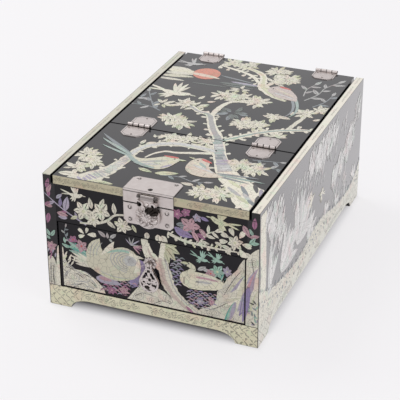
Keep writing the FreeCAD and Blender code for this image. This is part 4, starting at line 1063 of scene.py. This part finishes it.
# Mirror
# A sheet of silvered glass under the rear leaf.
# Four rebated strips hold it there by its edges.

silvered = Finish("silvered_glass", {"Metallic": 1.0, "Base Color": (0.88, 0.9, 0.89, 1)})
silvered.feed("Roughness", 0.015 + 0.02 * silvered.clouds(40 * MM, 3))
wear(silvered, "mirror_glass")

# Linings
# Red velvet on a thin card, cut a little smaller than the floor that it lies on and glued down.
# The pile is brushed, so it shows paler and darker patches.

PILE_DARK = (0.07, 0.004, 0.008)
PILE_PALE = (0.22, 0.018, 0.026)
PILE_SHEEN = (1.0, 0.55, 0.5, 1)
PILE_THICK = 0.6 * MM
TRIM = 0.6 * MM
LIFT = 0.35 * MM
ROLL = 0.25 * MM
WAVE_X = 17 * MM
WAVE_Y = 23 * MM
velvet = Finish("red_velvet", {"Sheen Weight": 0.8, "Sheen Roughness": 0.35, "Sheen Tint": PILE_SHEEN})
brushed = velvet.clouds(22 * MM, 3)
pile = velvet.clouds(0.5 * MM, 2)
velvet.feed("Base Color", velvet.mix(brushed * 0.6 + pile * 0.4, PILE_DARK, PILE_PALE))
velvet.feed("Roughness", 0.75 + 0.2 * brushed)
velvet.emboss(pile, 0.3 * MM, 0.7)


def lining(node, body):
    """Velvet in place of the plain card: its edges are rolled and it lies not quite flat."""
    low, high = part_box(node)
    size = high - low
    bpy.ops.object.select_all(action="DESELECT")
    bpy.ops.mesh.primitive_grid_add(x_subdivisions=30, y_subdivisions=46, size=1, location=(0, 0, 0))
    cloth = bpy.context.object
    cloth.name = node + "_velvet"
    bpy.ops.object.mode_set(mode="EDIT")
    bpy.ops.transform.resize(value=(size.x - TRIM, size.y - TRIM, 1))
    bpy.ops.transform.translate(value=((low.x + high.x) / 2, (low.y + high.y) / 2, low.z + LIFT))
    bpy.ops.object.mode_set(mode="OBJECT")
    chance = random.Random(node)
    for vertex in cloth.data.vertices:
        wave = math.sin(vertex.co.x / WAVE_X) * math.sin(vertex.co.y / WAVE_Y)
        vertex.co.z += (0.12 * wave + chance.uniform(0, 0.06)) * MM
    thick = cloth.modifiers.new("pile", "SOLIDIFY")
    thick.thickness = PILE_THICK
    thick.offset = 0
    bpy.ops.object.modifier_apply(modifier=thick.name)
    rolled = cloth.modifiers.new("rolled_edge", "BEVEL")
    rolled.width = ROLL
    rolled.segments = 2
    bpy.ops.object.modifier_apply(modifier=rolled.name)
    bpy.ops.object.shade_smooth_by_angle(angle=math.radians(50))
    cloth.data.materials.append(velvet.material)
    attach(cloth, body)
    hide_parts(node)
    bpy.ops.object.select_all(action="DESELECT")


lining("compartment_lining", "case")
lining("drawer_lining", "drawer")

# Hinges
# Leaves of white bronze sheet, rolled round their pins and nailed to the lid and the back.
# A line is engraved along the edges of each leaf and dirt sits in it; shade is painted between the
# knuckles, and under the barrels of the seam hinges.

CAST_PALE = (0.68, 0.63, 0.61)
CAST_DULL = (0.50, 0.44, 0.425)
PATINA_AND_SHADE = (0.03, 0.025, 0.023)


def bronze_finish(name, blackened_or_shaded):
    """Pale cast metal. The function draws, from the finish and its axes, where it is black: patina, or
    painted shade.
    """
    finish = Finish(name, {"Metallic": 1.0})
    tarnish = finish.clouds(6 * MM, 5)
    black = blackened_or_shaded(finish, *finish.axes())
    finish.feed("Base Color", finish.mix(black, finish.mix(tarnish, CAST_PALE, CAST_DULL), PATINA_AND_SHADE))
    finish.feed("Roughness", 0.28 + 0.2 * tarnish)
    finish.emboss(finish.clouds(0.6 * MM, 3) - 2 * black, 0.03 * MM, 0.5)
    return finish


hinge_low, hinge_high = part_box("seam_hinge_pin_right")
hinge_middle, hinge_half = halves(hinge_low.x, hinge_high.x)
pin_y = halves(hinge_low.y, hinge_high.y)[0]
KNUCKLE = 5.7 * MM
BARREL = 1.9 * MM
LEAF_LONG = 21.5 * MM
LEAF_CORNER = 5 * MM
LINE_INSET = 1.5 * MM
LINE_HALF = 0.28 * MM


def leaf_lines(finish, x, y, z):
    """The engraved line inside a seam hinge leaf, painted shade in the gaps between the knuckles, and a
    painted shadow under the barrel.
    """
    aside = abs(abs(x) - hinge_middle)
    reach = abs(y - pin_y)
    corner = (aside + reach - (hinge_half + LEAF_LONG - LEAF_CORNER)) * math.sqrt(0.5)
    inside = (aside - hinge_half).or_else(reach - LEAF_LONG).or_else(corner)
    line = (abs(inside + LINE_INSET) < LINE_HALF) * (reach > 2.4 * MM)
    # Painted shade in the gaps between the knuckles
    knuckle_gap_shade = abs((aside + KNUCKLE / 2) % KNUCKLE - KNUCKLE / 2) < 0.5 * MM
    barrel = reach < BARREL
    # Painted shadow along the leaf just under the barrel
    groove = (reach > 1.4 * MM) * (reach < 2.2 * MM) * (z < hinge_low.z)
    black = (0.75 * line).or_else(knuckle_gap_shade * barrel).or_else(groove).or_else(0.1 * barrel)
    return black * (0.7 + 0.5 * finish.clouds(3 * MM))


seam_bronze = bronze_finish("seam_hinge_bronze", leaf_lines)


def back_lines(finish, x, y, z):
    """Dirt in the engraved line along the edges of a back hinge leaf, and painted shade between its
    knuckles.
    """
    aside = abs(abs(x) - hinge_middle)
    line = abs(aside - hinge_half + LINE_INSET) < LINE_HALF
    # Painted shade in the gaps between the knuckles
    knuckle_gap_shade = abs((aside + KNUCKLE / 2) % KNUCKLE - KNUCKLE / 2) < 0.4 * MM
    barrel = (z > rim_high.z + 0.9 * MM) * (y > rear_high.y - 2 * MM)
    return (0.7 * line * (1 - barrel)).or_else(knuckle_gap_shade * barrel) * (0.6 + 0.6 * finish.clouds(3 * MM))


back_bronze = bronze_finish("back_hinge_bronze", back_lines)
for side in SIDES:
    wear(seam_bronze, "seam_hinge_front_" + side, "seam_hinge_rear_" + side)
    wear(back_bronze, "back_hinge_lid_" + side, "back_hinge_case_" + side)


def wire_finish(name, pale, dark):
    """Drawn metal, streaked along x."""
    finish = Finish(name, {"Metallic": 1.0})
    drawn = finish.clouds(1 * MM, 3, (0.1, 1, 1))
    finish.feed("Base Color", finish.mix(drawn, pale, dark))
    finish.feed("Roughness", 0.3 + 0.2 * drawn)
    return finish


wire = wire_finish("drawn_wire", (0.62, 0.58, 0.55), (0.30, 0.27, 0.26))
iron = wire_finish("nail_iron", (0.30, 0.26, 0.24), (0.06, 0.05, 0.045))
for side in SIDES:
    wear(wire, "seam_hinge_pin_" + side, "back_hinge_pin_" + side)
wear(iron, "hinge_nails_front_leaf", "hinge_nails_rear_leaf", "hinge_nails_case")

# Lock
# A plate on the lid bends down over its front edge and carries the hasp, which is cast with a flower.
# The plate on the rail has the stud that the hasp closes over. Rivets hold both, and hollows are black.

# Shade is painted along the edges of the plates, at the ends of the lid plate's knuckles and over parts of
# the hasp.
lid_plate_low, lid_plate_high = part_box("lock_lid_plate")
rail_plate_low, rail_plate_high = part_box("lock_rail_plate")
hasp_low, hasp_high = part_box("hasp")
RIVET_RADIUS = 2.2 * MM
RIVET_INSET = 4.2 * MM
BEND_DEEP = 2.5 * MM
rivet_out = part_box("lock_rail_rivets")[1].x - RIVET_RADIUS


def bend_lines(finish, x, y, z):
    """A dark line on each side of the bend, painted shade along the edges of the plate, and painted dark
    openings at the ends of its knuckles.
    """
    from_bend = y - lid_plate_low.y - BEND_DEEP
    below = lid_plate_high.z - z
    lines = (abs(from_bend - 0.9 * MM) < 0.35 * MM) * (below < 0.7 * MM)
    lines = lines.or_else((abs(below - 1.7 * MM) < 0.4 * MM) * (from_bend < 0.6 * MM))
    # Painted dark openings: the knuckles in front of the bend
    lines = lines.or_else(from_bend < -0.6 * MM)
    # Painted shade along the sides and the rear edge of the plate
    edge_shade = (lid_plate_high.x - abs(x) < 0.4 * MM).or_else(lid_plate_high.y - y < 0.5 * MM)
    return lines.or_else(0.5 * edge_shade) * (0.6 + 0.5 * finish.clouds(4 * MM))


def plate_edge_shade(finish, x, y, z):
    """Painted shade along the outline of the plate on the rail."""
    rail_edge_shade = (rail_plate_high.x - abs(x) < 0.35 * MM).or_else(rail_plate_high.z - z < 0.5 * MM)
    return rail_edge_shade * 0.6 * finish.clouds(5 * MM)


wear(bronze_finish("lid_plate_bronze", bend_lines), "lock_lid_plate")
wear(bronze_finish("rail_plate_bronze", plate_edge_shade), "lock_rail_plate", "catch_stud")


def rivet_rings(finish, first, second):
    """A black ring in each rivet head, worn away in places."""
    apart = (first * first + second * second) ** 0.5
    ring = (abs(apart - 1.25 * MM) < 0.4 * MM) * (finish.clouds(2 * MM, 1) > 0.42)
    return ring.or_else(apart > 2 * MM)


def lid_rivets(finish, x, y, z):
    rings = rivet_rings(finish, abs(x) - rivet_out, y - lid_plate_high.y + RIVET_INSET)
    return rings.or_else(0.3 * (abs(x) < 4 * MM))


def rail_rivets(finish, x, y, z):
    middle = (rail_plate_low.z + rail_plate_high.z) / 2
    rise = rail_plate_high.z - RIVET_INSET - middle
    return rivet_rings(finish, abs(x) - rivet_out, abs(z - middle) - rise)


wear(bronze_finish("lid_rivet_bronze", lid_rivets), "lock_lid_rivets")
wear(bronze_finish("rail_rivet_bronze", rail_rivets), "lock_rail_rivets")
wear(wire, "hasp_pin")

BOSS_RADIUS = 8.4 * MM
BOSS_RISE = 11.6 * MM
boss_z = hasp_low.z + BOSS_RISE


def hasp_patina_and_shade(finish, x, y, z):
    """Black patina in the hollows between the petals, a painted shadow over the upper right of the casting,
    and a painted dark opening at its upper left.
    """
    up = z - boss_z
    ragged = finish.clouds(4 * MM, 2) - 0.5
    away = (x * x + up * up) ** 0.5
    hollow = (away < BOSS_RADIUS + 2 * MM) * (abs(ragged) < 0.03)
    # Painted shadow over the upper right of the casting
    right = x / (7 * MM) - 0.85
    high = up / (5 * MM) - 1.35
    corner = (right * right + high * high + 1.6 * ragged) < 0.8
    # A painted dark opening at the upper left, beside the barrel
    left = x / (2.6 * MM) + 2.6
    top = up / (2.2 * MM) - 5.2
    painted_opening = (left * left + top * top + ragged) < 1.0
    barrel = 0.4 * (z > hasp_high.z - 4 * MM)
    return (0.55 * hollow).or_else(corner).or_else(painted_opening).or_else(barrel)


hasp_bronze = bronze_finish("hasp_bronze", hasp_patina_and_shade)
wear(hasp_bronze, "hasp")


def cast_flower(name, x, y, z, rings, finish, body):
    """Petals in rings about a point on a face towards the front.

    A ring is (petals, start, long, wide, rise).
    """
    stand = Matrix.Translation((x, y, z)) @ Matrix.Rotation(math.radians(90), 4, "X")
    petals_made = []
    for ring, (petals, start, long, wide, rise) in enumerate(rings):
        for number in range(petals):
            bpy.ops.object.select_all(action="DESELECT")
            bpy.ops.mesh.primitive_uv_sphere_add(segments=8, ring_count=6, radius=0.5, location=(0, 0, 0))
            made = bpy.context.object
            for vertex in made.data.vertices:
                vertex.co.y *= 0.75 + 0.5 * vertex.co.x
            turn = Matrix.Rotation(2 * math.pi * (number + 0.5 * (ring % 2)) / petals, 4, "Z")
            out = Matrix.Translation((start + long / 2, 0, 0))
            size = Matrix.Diagonal((long, wide, rise * 2, 1))
            made.data.transform(stand @ turn @ (out @ size))
            petals_made.append(made)
    for made in petals_made:
        made.select_set(True)
    bpy.ops.object.join()
    flower = bpy.context.object
    flower.name = name
    bpy.ops.object.shade_smooth()
    flower.data.materials.append(finish.material)
    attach(flower, body)
    bpy.ops.object.select_all(action="DESELECT")


BOSS_RINGS = ((11, 3.8 * MM, 5.4 * MM, 3.0 * MM, 1.5 * MM), (7, 1.2 * MM, 4.4 * MM, 2.6 * MM, 1.9 * MM))
cast_flower("hasp_flower", 0, hasp_low.y + 1.3 * MM, boss_z, BOSS_RINGS, hasp_bronze, "hasp")

# Drawer pull
# A small cast rosette with a post, and a pierced drop that swings on a pin through the post's eye.
# Petals are cast on the rosette, and black has gathered in the hollows of all three.

rosette_low, rosette_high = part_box("pull_rosette")
rosette_z = halves(rosette_low.z, rosette_high.z)[0]
BULB_RISE = 9.2 * MM
bulb_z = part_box("pull_drop")[0].z + BULB_RISE
# In millimetres from the middle of the drop's flower (aside, up, wide, high)
HOLLOWS = ((-1.8, -4.4, 2.8, 2.0), (4.6, -1.6, 2.4, 1.3), (0.8, 3.6, 1.5, 1.7), (-4.6, 0.6, 1.5, 1.0))


def pull_patina(finish, x, y, z):
    """Black spots in the hollows of the castings, the largest on the flower of the drop."""
    ragged = finish.clouds(2.2 * MM, 3)
    black = (ragged > 0.58) * 0.7
    for aside, up, wide, high in HOLLOWS:
        right = (x - aside * MM) / (wide * MM)
        above = (z - bulb_z - up * MM) / (high * MM)
        black = black.or_else((right * right + above * above + ragged) < 1.3)
    return black


pull_bronze = bronze_finish("pull_bronze", pull_patina)
wear(pull_bronze, "pull_rosette", "pull_post", "pull_drop")
ROSETTE_RINGS = ((8, 2.0 * MM, 4.0 * MM, 2.6 * MM, 0.7 * MM),)
cast_flower("rosette_flower", 0, rosette_low.y, rosette_z, ROSETTE_RINGS, pull_bronze, "drawer")
wear(wire, "pull_pin")

# Studio
# A pale floor, a white surround, a large soft lamp on the left and a weaker one on the right.
# Beyond the shade under the box the floor glows where it is seen, so that it runs out to white.

FLOOR_PALE = (0.86, 0.85, 0.865)
FLOOR_WHITE = (0.88, 0.87, 0.88)
BOUNCED = ("Is Glossy Ray", "Is Transmission Ray")
bpy.ops.mesh.primitive_grid_add(x_subdivisions=8, y_subdivisions=8, size=8, location=(0, 0, 0))
floor = bpy.context.object
floor.name = "studio_floor"
floor_finish = Finish("studio_floor", {"Roughness": 0.9, "Specular IOR Level": 0.1})
floor_finish.feed("Base Color", floor_finish.mix(floor_finish.clouds(0.6), FLOOR_PALE, FLOOR_WHITE))
glow = {"Color": (1.0, 0.985, 1.0, 1), "Strength": 0.95}
paper = floor_finish.add("ShaderNodeEmission", None, glow)
seen_straight = floor_finish.add("ShaderNodeLightPath", output="Is Camera Ray")
for ray in BOUNCED:
    seen_straight = seen_straight.or_else(floor_finish.add("ShaderNodeLightPath", output=ray))
lit = Strand(floor_finish, floor_finish.shader.outputs[0])
floor_x, floor_y = floor_finish.axes()[:2]
beyond = (abs(floor_x) - base_high.x).or_else(abs(floor_y) + base_low.y)
fade = {"Value": beyond, "From Min": -0.014, "From Max": 0.005, "To Min": 0.0, "To Max": 0.74}
share = floor_finish.add("ShaderNodeMapRange", None, fade)
shown = floor_finish.add("ShaderNodeMixShader", None, {0: share * seen_straight, 1: lit, 2: paper})
floor_finish.tree.links.new(shown.socket, floor_finish.tree.nodes["Material Output"].inputs["Surface"])
floor.data.materials.append(floor_finish.material)

world = bpy.data.worlds.new("studio")
bpy.context.scene.world = world
world.use_nodes = True
sky = world.node_tree
seen = sky.nodes["Background"]
seen.inputs["Color"].default_value = (0.96, 0.955, 0.965, 1)
seen.inputs["Strength"].default_value = 0.95
fill = sky.nodes.new("ShaderNodeBackground")
fill.inputs["Color"].default_value = (0.97, 0.97, 1.0, 1)
fill.inputs["Strength"].default_value = 0.62
path = sky.nodes.new("ShaderNodeLightPath")
straight = path.outputs["Is Camera Ray"]
for ray in BOUNCED:
    either = sky.nodes.new("ShaderNodeMath")
    either.operation = "MAXIMUM"
    sky.links.new(straight, either.inputs[0])
    sky.links.new(path.outputs[ray], either.inputs[1])
    straight = either.outputs[0]
around = sky.nodes.new("ShaderNodeMixShader")
sky.links.new(straight, around.inputs[0])
sky.links.new(fill.outputs[0], around.inputs[1])
sky.links.new(seen.outputs[0], around.inputs[2])
sky.links.new(around.outputs[0], sky.nodes["World Output"].inputs["Surface"])


def lamp(name, place, aim, size, power):
    """A soft square lamp of that size in metres and power in watts."""
    light = bpy.data.lights.new(name, "AREA")
    light.size = size
    light.energy = power
    holder = bpy.data.objects.new(name, light)
    bpy.context.scene.collection.objects.link(holder)
    holder.location = place
    holder.rotation_euler = (Vector(aim) - Vector(place)).to_track_quat("-Z", "Y").to_euler()


lamp("key_lamp", (-1.7, 0.5, 2.2), (0, 0, 0.05), 1.6, 28)
lamp("side_lamp", (2.0, -0.6, 1.6), (0, 0, 0.05), 1.8, 18)

# Camera at the photograph's viewing angle
# Its place in metres, its turns in degrees, and its focal length in pixels of the photograph's width
VIEW_PLACE = (0.42131, -1.07672, 0.66161)
VIEW_YAW, VIEW_PITCH, VIEW_ROLL = 22.059, -27.870, -0.217
FOCAL_PIXELS, FRAME_PIXELS = 1364.07, 400
eye = bpy.data.cameras.new("studio_camera")
eye.sensor_width = 36
eye.lens = eye.sensor_width * FOCAL_PIXELS / FRAME_PIXELS
camera = bpy.data.objects.new("studio_camera", eye)
bpy.context.scene.collection.objects.link(camera)
yaw = Matrix.Rotation(math.radians(VIEW_YAW), 4, "Z")
pitch = Matrix.Rotation(math.radians(90 + VIEW_PITCH), 4, "X")
roll = Matrix.Rotation(math.radians(VIEW_ROLL), 4, "Z")
camera.matrix_world = Matrix.Translation(VIEW_PLACE) @ yaw @ pitch @ roll
bpy.context.scene.camera = camera
bpy.context.scene.view_settings.view_transform = "Standard"
